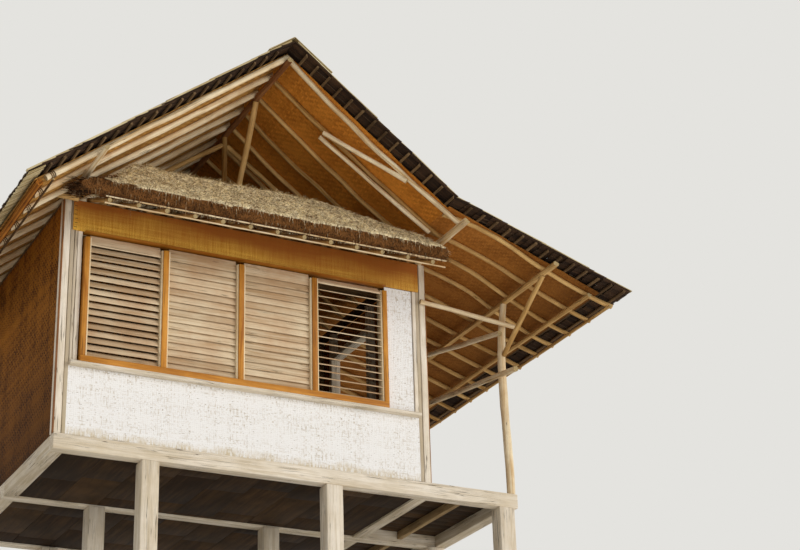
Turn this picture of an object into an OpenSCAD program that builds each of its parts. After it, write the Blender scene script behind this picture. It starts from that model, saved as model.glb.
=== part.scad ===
// Stilt house: one room with a louvred front, a pole roof and a lean-to veranda on its right side.
// Every place is first taken from the room: X = 0 is the outer face of the left corner posts, Y = 0
// the front of the walls and Z = 0 the underside of the sill beams. on_site() then moves it over
// the centre of its own footprint, with the ground at Z = 0.

/* [Room] */
// Width of the room, over its corner posts
room_w = 3600; // [3300:10:4200]
// Depth of the room, over its corner posts
room_d = 3000; // [2700:10:3800]
// Height of the corner posts, between the sill beams and the wall plates
wall_h = 2207; // [2150:1:2500]
// Width of the square corner posts
post_w = 100; // [80:1:130]
// Width of the square wall studs
stud_w = 60; // [40:1:80]
// Depth of the rails along the top of the front and back walls
rail_h = 100; // [70:1:130]

/* [Stilts and floor] */
// Height of the stilts, between the ground and the sill beams
stilt_h = 900; // [500:10:1600]
// Width of the square stilts
stilt_w = 160; // [120:1:220]
// Distance between the left end of the beams and the first stilts
stilt_inset = 790; // [300:10:1000]
// Depth of the sill beams
sill_h = 138; // [125:1:200]
// Width of the sill beams
sill_w = 120; // [100:1:150]
// Width of the veranda, outside the room
veranda_w = 920; // [700:10:1300]
// Thickness of the floor boards
floor_t = 25; // [18:1:35]
// Depth of the floor joists
joist_h = 75; // [50:1:90]
// Width of the floor joists
joist_w = 50; // [40:1:70]
// Largest distance between two floor joists
joist_gap = 480; // [350:10:600]
// Thickness of the lining boards under the joists
lining_t = 20; // [10:1:25]

/* [Woven walls] */
// Thickness of the woven wall panels
weave_t = 12; // [8:1:20]
// How far the woven panels stand back from the face of the posts
weave_inset = 10; // [5:1:20]
// Height of the white panel under the window
low_panel_h = 622; // [500:1:700]
// Thickness of the ledge under the window
ledge_t = 34; // [20:1:50]
// How far the ledge stands out in front of the wall
ledge_out = 55; // [46:1:100]
// How far the upper band laps over each corner post
band_lap = 22; // [10:1:40]
// Gap between the upper band and the wall plates
band_gap = 10; // [8:1:40]
// Width of the trim boards beside the corner posts
trim_w = 48; // [30:1:55]
// Thickness of the trim boards
trim_t = 40; // [25:1:50]

/* [Window] */
// Gap between the left trim board and the window frame
window_gap = 7; // [0:1:60]
// Width of the white panel at the right of the window frame
side_panel_w = 285; // [150:1:500]
// Height of the window frame
window_h = 1250; // [1100:1:1260]
// Depth of the window frame
frame_d = 100; // [85:1:120]
// How far the window frame stands out in front of the wall
frame_out = 45; // [30:1:45]
// Width of the outer members of the window frame
frame_t = 60; // [45:1:70]
// Width of the face of each mullion
mullion_w = 50; // [40:1:70]
// Width of the stops along both sides of a mullion
stop_w = 15; // [10:1:20]
// How much wider the first light is than the others
first_light_extra = 40; // [0:1:60]
// Number of slats in a light
slats = 17; // [12:1:17]
// Width of a slat
slat_w = 75; // [60:1:80]
// Thickness of a slat
slat_t = 8; // [5:1:9]

/* [Doorway] */
// Width of the doorway onto the veranda
door_w = 800; // [650:10:900]
// Height of the doorway
door_h = 1900; // [1800:10:1980]
// Width of the door posts and of the head between them
door_post_w = 60; // [45:1:80]

/* [Roof] */
// Pitch of the main roof
main_pitch = 37.8; // [34:0.1:42]
// Diameter of the wall plates
plate_d = 90; // [70:1:110]
// Depth of the flat hewn on a wall plate for the rafters
plate_seat = 34; // [15:1:35]
// Diameter of the ridge pole
ridge_d = 60; // [50:1:80]
// Distance between the ends of the ridge pole and the verges
ridge_short = 120; // [60:5:200]
// Distance between the ends of the wall plates and the verges
plate_short = 30; // [10:5:80]
// Depth of the flats hewn on the ridge pole and the purlins
pole_seat = 10; // [4:1:12]
// Diameter of the rafters
rafter_d = 55; // [45:1:65]
// Number of rafters on each slope
rafters = 14; // [10:1:16]
// How far the first and last rafters stand outside the room
rafter_out = 800; // [600:10:800]
// How far a rafter bends to the side
rafter_sway = 9; // [0:1:12]
// How far the left rafters reach past the left wall
left_reach = 420; // [300:10:500]
// How far the shingles reach past the end of the rafters at the left eave
left_eave_lap = 220; // [120:10:260]
// How far the shingles reach past the front and back walls
verge_out = 1000; // [950:10:1200]
// How far the roof mat reaches past the front and back walls
mat_out = 860; // [850:1:900]
// Thickness of the roof mat
mat_t = 8; // [5:1:12]
// Spacing of the battens along the slope
batten_gap = 145; // [120:1:180]
// Width of the battens
batten_w = 26; // [20:1:35]
// Thickness of the battens
batten_t = 20; // [15:1:28]
// Distance between the ends of the battens and the verges
batten_short = 12; // [5:1:60]
// Thickness of the shingles at the head of a course
shingle_head = 16; // [10:1:20]
// Thickness of the shingles at the butt of a course
shingle_butt = 38; // [30:1:50]
// Length of the ridge boards down each slope
cap_l = 420; // [300:10:500]
// Thickness of the ridge boards
cap_t = 12; // [8:1:18]

/* [Veranda roof] */
// Pitch of the veranda roof
veranda_pitch = 18.8; // [15:0.1:21]
// Height of the axis of the inner purlin above the underside of the sill beams
purlin_z = 2122; // [2050:1:2160]
// Distance between the edge of the deck and the inner purlin
purlin_in = 20; // [0:1:40]
// Diameter of the inner purlin
purlin_d = 58; // [50:1:90]
// Diameter of the outer purlin
outer_purlin_d = 46; // [40:1:80]
// Distance between the inner and the outer purlin
outer_purlin_gap = 480; // [400:10:520]
// Diameter of the eave pole
eave_pole_d = 32; // [28:1:60]
// Distance between the inner purlin and the eave pole
eave_pole_gap = 715; // [600:5:730]
// Distance between the inner purlin and the ends of the veranda rafters
rafter_end_gap = 770; // [690:5:790]
// Distance between the line of the first rafters and the front ends of the outer purlin and eave pole
pole_short = 25; // [0:1:30]
// How far these two reach past the line of the last rafters
pole_past = 95; // [90:1:120]
// Distance between the veranda mat and the ends of the veranda rafters
veranda_mat_short = 180; // [100:10:260]
// How far the shingles reach past the ends of the veranda rafters
right_eave_lap = 60; // [50:5:180]
// Extra thickness of the old shingles left on the veranda roof
old_shingles = 22; // [0:1:30]

/* [Trusses] */
// Distance between the end walls and the trusses
truss_in = 725; // [700:5:950]
// Depth and width of the tie beams
tie_beam_w = 90; // [70:1:110]
// Diameter of the king posts
king_d = 54; // [48:1:90]
// Diameter of the raking struts
strut_d = 56; // [45:1:70]
// Diameter of the sloping struts from the king posts down to the tie beams
truss_strut_d = 48; // [40:1:55]
// Height of the rafters above the middle of these struts
truss_strut_drop = 118; // [110:1:150]
// How far these struts bow up
truss_strut_bow = 25; // [0:1:30]

/* [Lashed poles] */
// Distance across between the ridge and the upper ends of the lashed poles
lashed_upper = 540; // [400:10:700]
// Distance across between the ridge and the lower end of the outer lashed pole
lashed_outer_lower = 1230; // [900:10:1300]
// Distance across between the ridge and the lower end of the inner lashed pole
lashed_inner_lower = 1630; // [1000:10:1640]
// Distance between the front of the walls and the upper end of the outer lashed pole
lashed_outer_out = 430; // [425:5:450]
// Distance between the front of the walls and the upper end of the inner lashed pole
lashed_inner_out = 340; // [330:5:350]
// How much farther out the lower end of the outer lashed pole is
lashed_outer_skew = 345; // [320:5:350]
// How much farther out the lower end of the inner lashed pole is
lashed_inner_skew = 110; // [90:5:120]
// Diameter of the lashed poles
lashed_d = 44; // [35:1:50]

/* [Grass awning] */
// Number of round ribs under the grass
ribs = 13; // [8:1:14]
// Diameter of the ribs
rib_d = 44; // [35:1:50]
// Distance between the left end of the room and the first rib
first_rib = 240; // [230:5:300]
// Distance between the right end of the room and the last rib
last_rib = 180; // [170:5:240]
// Pitch of the ribs
rib_pitch = 24.5; // [23:0.1:26]
// Distance between the front ends of the ribs and the front of the walls
rib_out = 519; // [480:1:540]
// How far the ribs reach in over the top rail
rib_in = 90; // [60:5:120]
// Diameter of the laths over and under the front ends of the ribs
lath_d = 15; // [10:1:18]
// Distance between the laths and the front ends of the ribs
lath_in = 10; // [8:1:30]
// How far the laths reach past the first rib
lath_past = 40; // [25:5:60]
// Distance between the right ends of the laths and the right end of the room
lath_short = 40; // [30:5:80]
// Diameter of the short pole tied under the left wall plate
stub_d = 58; // [50:1:60]
// How far the short pole reaches past the left end of the room
stub_past = 90; // [50:5:120]
// How far the short pole reaches along the front of the room
stub_l = 205; // [180:5:205]
// Distance between the lip of the thatch and the front of the walls
thatch_out = 608; // [590:1:640]
// Radius of the lip
lip_r = 48; // [30:1:60]
// Height of the middle of the lip above the front ends of the ribs
lip_rise = 137; // [120:1:150]
// Distance between the middle of the crest and the front of the walls
crest_out = 165; // [150:5:200]
// Radius of the crest
crest_r = 73; // [50:1:90]
// Height of the middle of the crest above the top of the walls
crest_rise = 310; // [250:5:320]
// How far the thatch reaches past the left end of the room
thatch_past = 40; // [0:5:60]
// Distance between the thatch and the right end of the room
thatch_short = 35; // [30:5:80]
// Height of the thatch at its two ends
thatch_end_h = 70; // [50:5:75]
// Height of the thatch where its ends begin to thin out
thatch_knee_h = 245; // [200:5:250]
// Distance between the left end of the thatch and this place
left_knee = 335; // [320:5:400]
// Distance between the right end of the thatch and this place
right_knee = 220; // [210:5:300]
// Distance between the left end of the thatch and its full height
left_shoulder = 600; // [590:5:800]
// Distance between the right end of the thatch and its full height
right_shoulder = 1250; // [800:10:1400]

/* [Veranda frame] */
// Diameter of the veranda posts below the tie
veranda_post_d = 78; // [70:1:100]
// Diameter of the veranda posts at their heads
veranda_post_head_d = 60; // [52:1:80]
// How far a veranda post bows towards the house
post_bow = 50; // [0:1:90]
// Height of the first bend of a veranda post above the underside of the sill beams
post_bend_z = 1070; // [900:10:1200]
// Height of its second bend above the underside of the sill beams
post_neck_z = 1590; // [1560:5:1640]
// How far the tie reaches past the veranda post
tie_past = 75; // [50:1:100]
// Diameter of the tie between the house and the front veranda post
tie_d = 50; // [45:1:80]
// Height of the tie above the underside of the sill beams, at the house
tie_z = 1942; // [1850:1:1980]
// How far the tie falls towards the veranda post
tie_fall = 90; // [0:1:120]
// Diameter of the rail along the veranda posts
veranda_rail_d = 56; // [45:1:70]
// Height of the rail above the underside of the sill beams, at the front post
veranda_rail_z = 1326; // [1300:1:1400]
// How much higher the rail is at the back post
veranda_rail_rise = 430; // [300:5:450]
// How far the rail reaches past the middle of the front post
veranda_rail_past = 370; // [60:5:400]
// Diameter of the wind brace between the front post and the inner purlin
wind_brace_d = 50; // [40:1:60]
// Height of the wind brace above the underside of the sill beams, at the front post
wind_brace_z = 1774; // [1750:1:1800]
// Distance between the front of the walls and its upper end
wind_brace_l = 1520; // [1300:10:1520]
// How far the rail and the wind brace reach past the posts they are tied to
tied_past = 60; // [40:5:100]
// Diameter of the raking braces
brace_d = 47; // [40:1:70]
// Height at which a brace leaves its post
brace_foot_z = 1540; // [1480:1:1560]
// How far a brace reaches out to the purlin
brace_reach = 720; // [600:10:760]

/* [Fit] */
// Gap left between two pieces that bear on each other
fit = 0.2; // [0.1:0.1:0.4]
// Gap between two poles that are lashed side by side
lash_gap = 6; // [5:1:8]

/* [Hidden] */

// Turned pieces have this many faces, and poles that bend are eight-sided
$fn = 32;
pole_sides = 8;
pole_steps = 3;

// Levels
wall_base = sill_h;
wall_top = wall_base + wall_h;
ledge_z = wall_base + low_panel_h;
window_z = ledge_z + ledge_t;
window_top = window_z + window_h;
deck_edge = room_w + veranda_w;

// Places across the room
stilt_xs = [
  stilt_inset + stilt_w / 2,
  (stilt_inset + deck_edge) / 2 - stilt_w / 4,
  deck_edge - stilt_w / 2 - sill_w / 3
];
stilt_ys = [stilt_w / 2, room_d / 2, room_d - stilt_w / 2];
beam_ys = [0, (room_d - sill_w) / 2, room_d - sill_w];
truss_ys = [truss_in, room_d - truss_in];
window_x = post_w + trim_w + window_gap;
window_end = room_w - post_w - trim_w - side_panel_w;
window_w = window_end - window_x;
mullion_all = mullion_w + 2 * stop_w;
light_w = (window_w - 2 * frame_t - 3 * mullion_all - first_light_extra) / 4;
weave_back = weave_inset + weave_t;
door_y = (room_d - door_w) / 2;

// Roof planes: the top of the rafters over a place x, for the main roof and the veranda roof
ridge_x = room_w / 2;
plate_in = post_w / 2;
plate_z = wall_top + plate_d / 2;
plate_bearing = plate_d / 2 - plate_seat + fit;
ridge_bearing = ridge_d / 2 - pole_seat + fit;
ridge_top = plate_z + (plate_bearing + rafter_d) / cos(main_pitch)
  + (ridge_x - plate_in) * tan(main_pitch);
function main_top(x) = ridge_top - abs(x - ridge_x) * tan(main_pitch);
function main_under(x) = main_top(x) - rafter_d / cos(main_pitch);
ridge_z = main_under(ridge_x) - ridge_bearing / cos(main_pitch);
purlin_x = deck_edge - purlin_in;
purlin_bearing = purlin_d / 2 - pole_seat + fit;
purlin_top = purlin_z + (purlin_bearing + rafter_d) / cos(veranda_pitch);
function veranda_top(x) = purlin_top - (x - purlin_x) * tan(veranda_pitch);
break_x = (ridge_top - purlin_top + ridge_x * tan(main_pitch) - purlin_x * tan(veranda_pitch))
  / (tan(main_pitch) - tan(veranda_pitch));
left_end = -left_reach;
left_eave = left_end - left_eave_lap;
right_end = purlin_x + rafter_end_gap;
right_eave = right_end + right_eave_lap;
plate_foot = room_w - plate_in + plate_d / 2;
rafter_gap = (room_d + 2 * rafter_out) / (rafters - 1);
ridge_run = [ridge_short - verge_out, room_d + verge_out - ridge_short];
plate_run = [plate_short - verge_out, room_d + verge_out - plate_short];
pole_run = [pole_short - rafter_out, room_d + rafter_out + pole_past];

// Front end of the awning ribs as [y, z], and directions along them and square to them
band_y = -weave_t - fit;
rib_along = [cos(rib_pitch), sin(rib_pitch)];
rib_up = [-sin(rib_pitch), cos(rib_pitch)];
rib_end = [-rib_out, wall_top + fit + rib_d / 2 / cos(rib_pitch) - rib_out * tan(rib_pitch)];
function over_rib(s, h) = rib_end + s * rib_along + h * rib_up;

// Sideways bends of the rafters nearest the front, at their ends and at their third points
left_bends = [[0, 8, 8, 0], [0, -6, -8, 0], [-14, -8, 0, 0]];
right_bends = [[0, 45, 35, 0], [40, 55, 45, 0], [50, 90, 90, 0], [30, 75, 60, 0], [0, 40, 8, 0]];
veranda_bends = [[22, -58, 22, 32], [25, -15, 55, 70], [45, -65, 55, 85], [42, -90, 30, 60]];

// Centre line of a veranda post as [height, x], and its radius as [height, radius]
purlin_foot = purlin_z - purlin_d / 2 + pole_seat - fit;
post_line = [
  [wall_base, purlin_x - post_bow / 2],
  [post_bend_z, purlin_x - post_bow],
  [post_neck_z, purlin_x - post_bow],
  [purlin_foot, purlin_x]
];
post_rs = [
  [wall_base, veranda_post_d / 2],
  [post_neck_z, veranda_post_d / 2],
  [purlin_foot, veranda_post_head_d / 2]
];
function post_inner(z) = lookup(z, post_line) - lookup(z, post_rs);

// Moves the house over the centre of its footprint, on the ground
module on_site() {
  translate([-(left_eave + right_eave) / 2, -room_d / 2, stilt_h])
    children();
}

// A block between two opposite corners
module block(low, high) {
  translate(low)
    cube(high - low);
}

// Faces of a stack of equal rings, closed at both ends
function stack_faces(rings, sides) = concat(
  [[for (s = [0:sides - 1]) s]],
  [[for (s = [sides - 1:-1:0]) (rings - 1) * sides + s]],
  [for (k = [0:rings - 2], s = [0:sides - 1])
    [k * sides + s, (k + 1) * sides + s, (k + 1) * sides + (s + 1) % sides, k * sides + (s + 1) % sides]]
);

// A rafter between two plumb cuts: its flats lie along the slope, and it bends only to the side, by
// the given amounts at its ends and third points
module rafter(low_x, low_z, high_x, high_z, y, bends) {
  slope = cos(atan((high_z - low_z) / (high_x - low_x)));
  corner_r = rafter_d / 2 / cos(180 / pole_sides);
  points = [for (k = [0:pole_steps], s = [0:pole_sides - 1])
    let (
      t = k / pole_steps,
      a = (s + 0.5) * 360 / pole_sides
    )
    [
      low_x + (high_x - low_x) * t,
      y + bends[k] + corner_r * cos(a),
      low_z + (high_z - low_z) * t + corner_r * sin(a) / slope
    ]];
  polyhedron(points, stack_faces(pole_steps + 1, pole_sides));
}

// Bends of a rafter: those listed for the first few, and a light sway for the others
function bends_of(list, i, seed) = i < len(list) ? list[i] : rafter_sway * sin(seed) * [0, 1, 1, 0];

function unit(v) = v / norm(v);

// A pole between two points, each end cut along a plane of its own, and with one of its flats
// turned to a given direction; a bowed pole has its middle moved aside
module strut(a, b, d, a_cut, b_cut, flat = [1, 0, 0], bow = [0, 0, 0]) {
  along = unit(b - a);
  side = unit(cross(along, flat));
  up = cross(along, side);
  corner_r = d / 2 / cos(180 / pole_sides);
  function ring(p, cut) = [for (s = [0:pole_sides - 1])
    let (
      angle = (s + 0.5) * 360 / pole_sides,
      o = corner_r * (cos(angle) * side + sin(angle) * up)
    )
    p + o - along * (o * cut) / (along * cut)];
  middle = norm(bow) > 0 ? ring((a + b) / 2 + bow, along) : [];
  points = concat(ring(a, a_cut), middle, ring(b, b_cut));
  polyhedron(points, stack_faces(len(points) / pole_sides, pole_sides));
}

// A round pole along Y with flats hewn on it, each as [direction of the flat, depth of the flat]
module hewn_pole(x, z, d, run, flats) {
  translate([x, run[1], z])
    rotate([90, 0, 0])
      linear_extrude(run[1] - run[0])
        difference() {
          circle(d = d);
          for (flat = flats)
            rotate(flat[0])
              translate([d / 2 - flat[1], -d])
                square([d, 2 * d]);
        }
}

// A layer of the roof between two places across it, as a profile of [x, height over the rafters]
module roof_layer(profile, run, veranda = false) {
  pitch = veranda ? veranda_pitch : main_pitch;
  outline = [for (p = profile)
    [p[0], (veranda ? veranda_top(p[0]) : main_top(p[0])) + p[1] / cos(pitch)]];
  translate([0, run[1], 0])
    rotate([90, 0, 0])
      linear_extrude(run[1] - run[0])
        polygon(outline);
}

// Profile of a flat sheet between two places
function sheet(low_x, high_x, h, t) = [[low_x, h], [high_x, h], [high_x, h + t], [low_x, h + t]];

// Profile of lapped courses, which thicken from the upper to the lower end of each
function courses(upper_x, lower_x, h, butt) =
  let (
    way = lower_x > upper_x ? 1 : -1,
    pitch = way > 0 && upper_x > ridge_x ? veranda_pitch : main_pitch,
    step = batten_gap * cos(pitch),
    n = max(1, round(abs(lower_x - upper_x) / step)),
    w = (lower_x - upper_x) / n
  )
  concat(
    [[upper_x, h]],
    [for (i = [0:n - 1], end = [0, 1]) [upper_x + w * (i + end), h + (end == 0 ? shingle_head : butt)]],
    [[lower_x, h]]
  );

// Battens across one slope, from a place near its head to its foot
module batten_row(upper_x, lower_x, veranda = false) {
  pitch = veranda ? veranda_pitch : main_pitch;
  way = lower_x > upper_x ? 1 : -1;
  n = floor(abs(lower_x - upper_x) / (batten_gap * cos(pitch)));
  for (i = [0:n])
    let (
      x = lower_x - way * i * batten_gap * cos(pitch),
      z = (veranda ? veranda_top(x) : main_top(x)) + (mat_t + fit) / cos(pitch)
    )
      translate([x, batten_short - verge_out, z])
        rotate([0, way * pitch, 0])
          translate([-batten_w / 2, 0, 0])
            cube([batten_w, room_d + 2 * (verge_out - batten_short), batten_t]);
}

module stilts() {
  color("wheat")
    on_site()
      for (x = stilt_xs, y = stilt_ys)
        block([x - stilt_w / 2, y - stilt_w / 2, -stilt_h], [x + stilt_w / 2, y + stilt_w / 2, 0]);
}

module main_beams() {
  color("tan")
    on_site()
      for (y = beam_ys)
        block([0, y, 0], [deck_edge, y + sill_w, sill_h]);
}

// Short beams between the three long ones, under the side walls and the edge of the deck
module side_sills() {
  color("tan")
    on_site()
      for (x = [0, room_w - sill_w, deck_edge - sill_w], i = [0, 1])
        block([x, beam_ys[i] + sill_w + fit, 0], [x + sill_w, beam_ys[i + 1] - fit, sill_h]);
}

// Joists between the long beams, evenly over a width
module joist_row(low_x, high_x) {
  n = ceil((high_x - low_x) / joist_gap);
  top = sill_h - floor_t - fit;
  for (i = [1:n - 1], bay = [0, 1])
    let (x = low_x + (high_x - low_x) * i / n)
      block(
        [x - joist_w / 2, beam_ys[bay] + sill_w + fit, top - joist_h],
        [x + joist_w / 2, beam_ys[bay + 1] - fit, top]
      );
}

module floor_joists() {
  color("tan")
    on_site() {
      joist_row(sill_w, room_w - sill_w);
      joist_row(room_w, deck_edge - sill_w);
    }
}

// Boards that fill the two bays between the long beams
module board_bays(low_x, high_x, low_z, high_z) {
  for (bay = [0, 1])
    block(
      [low_x + fit, beam_ys[bay] + sill_w + fit, low_z],
      [high_x - fit, beam_ys[bay + 1] - fit, high_z]
    );
}

module floor_boards() {
  color("peru")
    on_site()
      board_bays(sill_w, room_w - sill_w, sill_h - floor_t, sill_h);
}

module veranda_deck() {
  color("peru")
    on_site()
      board_bays(room_w, deck_edge - sill_w, sill_h - floor_t, sill_h);
}

module floor_lining() {
  top = sill_h - floor_t - joist_h - 2 * fit;
  color("sienna")
    on_site()
      board_bays(sill_w, room_w - sill_w, top - lining_t, top);
}

module corner_posts() {
  color("wheat")
    on_site()
      for (x = [0, room_w - post_w], y = [0, room_d - post_w])
        block([x, y, wall_base], [x + post_w, y + post_w, wall_top - fit]);
}

// Studs of the front wall stand under and over the window, and those of the other walls carry the
// tie beams and stiffen the panels
module wall_studs() {
  color("burlywood")
    on_site() {
      for (i = [0:4]) {
        x = stud_x(i);
        block([x, weave_back + fit, wall_base], [x + stud_w, weave_back + stud_w, ledge_z - fit]);
        block([x, 0, window_top + fit], [x + stud_w, stud_w, wall_top - rail_h - fit]);
      }
      for (y = truss_ys, x = [weave_back + fit, room_w - weave_back - stud_w])
        block(
          [x, y - stud_w / 2, wall_base],
          [x + stud_w - fit, y + stud_w / 2, wall_top - tie_beam_w - fit]
        );
      block(
        [weave_back + fit, (room_d - stud_w) / 2, wall_base],
        [weave_back + stud_w, (room_d + stud_w) / 2, wall_top - fit]
      );
      for (x = [room_w / 3, room_w * 2 / 3])
        block(
          [x - stud_w / 2, room_d - weave_back - stud_w, wall_base],
          [x + stud_w / 2, room_d - weave_back - fit, wall_top - rail_h - fit]
        );
    }
}

// Place of a stud that lines up with an upright of the window frame
function stud_x(i) = i == 0 ? window_x
  : i == 4 ? window_end - stud_w
  : mullion_x(i) + (mullion_all - stud_w) / 2;

// Left edge of a mullion, counted from 1
function mullion_x(i) = window_x + frame_t + first_light_extra + i * light_w + (i - 1) * mullion_all;

module top_rails() {
  color("burlywood")
    on_site()
      for (y = [0, room_d - post_w])
        block(
          [post_w + fit, y, wall_top - rail_h],
          [room_w - post_w - fit, y + post_w, wall_top]
        );
}

module tie_beams() {
  color("burlywood")
    on_site()
      for (y = truss_ys)
        block(
          [weave_back + fit, y - tie_beam_w / 2, wall_top - tie_beam_w],
          [room_w - weave_back - fit, y + tie_beam_w / 2, wall_top - fit]
        );
}

// White woven panels under the window and at its right
module front_panels() {
  color("whitesmoke")
    on_site() {
      block([post_w + fit, weave_inset, wall_base], [room_w - post_w - fit, weave_back, ledge_z - fit]);
      block(
        [window_end + fit, weave_inset, window_z],
        [room_w - post_w - trim_w - fit, weave_back, window_top]
      );
    }
}

module front_upper_band() {
  color("goldenrod")
    on_site()
      block(
        [post_w - band_lap, band_y, window_top + fit],
        [room_w - post_w + band_lap, -fit, wall_top - band_gap]
      );
}

module front_trims() {
  color("wheat")
    on_site()
      for (x = [post_w + fit, room_w - post_w - trim_w])
        block([x, 0, window_z], [x + trim_w - fit, trim_t, window_top]);
}

module window_ledge() {
  color("wheat")
    on_site()
      block([post_w + fit, -ledge_out, ledge_z], [room_w - post_w - fit, post_w, window_z - fit]);
}

// Head and sill of the window frame
module window_rails() {
  color("orange")
    on_site()
      for (z = [window_z, window_top - frame_t])
        block([window_x, -frame_out, z], [window_end, frame_d - frame_out, z + frame_t]);
}

// Uprights of the window frame: two plain stiles, and three mullions with a stop along both sides
module window_stiles() {
  low = window_z + frame_t + fit;
  high = window_top - frame_t - fit;
  color("orange")
    on_site() {
      for (x = [window_x, window_end - frame_t])
        block([x, -frame_out, low], [x + frame_t, frame_d - frame_out, high]);
      for (i = [1:3])
        translate([mullion_x(i), -frame_out, low])
          linear_extrude(high - low)
            union() {
              translate([0, stop_w])
                square([mullion_all, frame_d - stop_w]);
              translate([stop_w, 0])
                square([mullion_w, frame_d]);
            }
    }
}

// Slats of one light, their outer edges turned down by an angle from the level
module louvres(light, angle) {
  left = light == 1 ? window_x + frame_t : mullion_x(light - 1) + mullion_all;
  right = light == 4 ? window_end - frame_t : mullion_x(light);
  margin = (slat_w * sin(angle) + slat_t * cos(angle)) / 2 + fit;
  pitch = (window_h - 2 * frame_t - 2 * margin) / (slats - 1);
  color("burlywood")
    on_site()
      for (i = [0:slats - 1])
        translate([left + fit, frame_d / 2 - frame_out, window_z + frame_t + margin + pitch * i])
          rotate([angle, 0, 0])
            translate([0, -slat_w / 2, -slat_t / 2])
              cube([right - left - 2 * fit, slat_w, slat_t]);
}

module louvre_panel_1() {
  louvres(1, 58);
}

module louvre_panel_2() {
  louvres(2, 74);
}

module louvre_panel_3() {
  louvres(3, 76);
}

module louvre_panel_4() {
  louvres(4, 27);
}

module left_wall() {
  color("sienna")
    on_site()
      block([weave_inset, post_w + fit, wall_base], [weave_back, room_d - post_w - fit, wall_top - fit]);
}

// The back wall, and over it the panel that closes the gable under the rafters and the ridge pole
module back_wall() {
  foot_x = plate_in + plate_d / 2 + fit;
  head_z = ridge_z - ridge_d / 2 - fit;
  head_x = ridge_x - (main_under(ridge_x) - fit - head_z) / tan(main_pitch);
  color("sienna")
    on_site() {
      block(
        [post_w + fit, room_d - weave_back, wall_base],
        [room_w - post_w - fit, room_d - weave_inset, wall_top - rail_h - fit]
      );
      translate([0, room_d - weave_inset, 0])
        rotate([90, 0, 0])
          linear_extrude(weave_t)
            polygon([
              [foot_x, wall_top + fit],
              [room_w - foot_x, wall_top + fit],
              [room_w - foot_x, main_under(foot_x) - fit],
              [room_w - head_x, head_z],
              [head_x, head_z],
              [foot_x, main_under(foot_x) - fit]
            ]);
    }
}

module right_wall() {
  low_x = room_w - weave_back;
  high_x = room_w - weave_inset;
  color("sienna")
    on_site() {
      block([low_x, post_w + fit, wall_base], [high_x, door_y - door_post_w - fit, wall_top - fit]);
      block(
        [low_x, room_d - door_y + door_post_w + fit, wall_base],
        [high_x, room_d - post_w - fit, wall_top - fit]
      );
      block(
        [low_x, door_y + fit, wall_base + door_h + door_post_w + fit],
        [high_x, room_d - door_y - fit, wall_top - fit]
      );
    }
}

// Two posts up to the wall plate, and a head between them
module door_frame() {
  color("wheat")
    on_site() {
      for (y = [door_y - door_post_w, room_d - door_y])
        block([room_w - post_w, y, wall_base], [room_w, y + door_post_w, wall_top - fit]);
      block(
        [room_w - post_w, door_y + fit, wall_base + door_h],
        [room_w, room_d - door_y - fit, wall_base + door_h + door_post_w]
      );
    }
}

module wall_plates() {
  color("burlywood")
    on_site() {
      hewn_pole(plate_in, plate_z, plate_d, plate_run, [[90 + main_pitch, plate_seat]]);
      hewn_pole(room_w - plate_in, plate_z, plate_d, plate_run, [[90 - main_pitch, plate_seat]]);
    }
}

module king_posts() {
  color("burlywood")
    on_site()
      for (y = truss_ys)
        strut(
          [ridge_x, y, wall_top],
          [ridge_x, y, ridge_z - ridge_d / 2 + pole_seat / 2 - fit],
          king_d, [0, 0, 1], [0, 0, 1]
        );
}

// Raking struts run from the ridge pole down to the foot of each king post, and sloping ones from
// both sides of each king post down to its tie beam, under the rafters
module ridge_struts() {
  head_z = ridge_z - ridge_d / 2 + pole_seat / 2 - fit;
  foot_z = wall_top + strut_d * 1.3;
  function line_z(x) = main_under(x) - truss_strut_drop;
  upper_x = ridge_x - king_d / 2 - fit;
  lower_x = upper_x - (line_z(upper_x) - wall_top) / tan(main_pitch);
  color("burlywood")
    on_site() {
      for (end = [
        [-post_w * 0.7, truss_ys[0] - king_d / 2 - fit],
        [room_d - post_w, truss_ys[1] + king_d / 2 + fit]
      ])
        strut([ridge_x, end[1], foot_z], [ridge_x, end[0], head_z], strut_d, [0, 1, 0], [0, 0, 1]);
      for (y = truss_ys, side = [-1, 1])
        let (
          upper = [ridge_x + side * (ridge_x - upper_x), y, line_z(upper_x)],
          lower = [ridge_x + side * (ridge_x - lower_x), y, wall_top],
          up = [side * sin(main_pitch), 0, cos(main_pitch)]
        )
          strut(upper, lower, truss_strut_d, [1, 0, 0], [0, 0, 1], [0, 1, 0], truss_strut_bow * up);
    }
}

module ridge_pole() {
  color("burlywood")
    on_site()
      hewn_pole(ridge_x, ridge_z, ridge_d, ridge_run, [
        [90 - main_pitch, pole_seat],
        [90 + main_pitch, pole_seat],
        [270, pole_seat / 2]
      ]);
}

// Axis of a rafter over a place x
function main_axis(x) = main_top(x) - rafter_d / 2 / cos(main_pitch);
function veranda_axis(x) = veranda_top(x) - rafter_d / 2 / cos(veranda_pitch);
function rafter_y(i) = -rafter_out + i * rafter_gap;

module left_rafters() {
  color("burlywood")
    on_site()
      for (i = [0:rafters - 1])
        rafter(
          left_end, main_axis(left_end), ridge_x - fit, main_axis(ridge_x - fit),
          rafter_y(i), bends_of(left_bends, i, i * 97)
        );
}

module right_rafters() {
  color("burlywood")
    on_site()
      for (i = [0:rafters - 1])
        rafter(
          ridge_x + fit, main_axis(ridge_x + fit), plate_foot, main_axis(plate_foot),
          rafter_y(i), bends_of(right_bends, i, i * 71 + 40)
        );
}

module veranda_rafters() {
  color("burlywood")
    on_site()
      for (i = [0:rafters - 1])
        rafter(
          break_x, veranda_axis(break_x), right_end, veranda_axis(right_end),
          rafter_y(i) + rafter_d + lash_gap, bends_of(veranda_bends, i, i * 53 + 80)
        );
}

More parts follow.
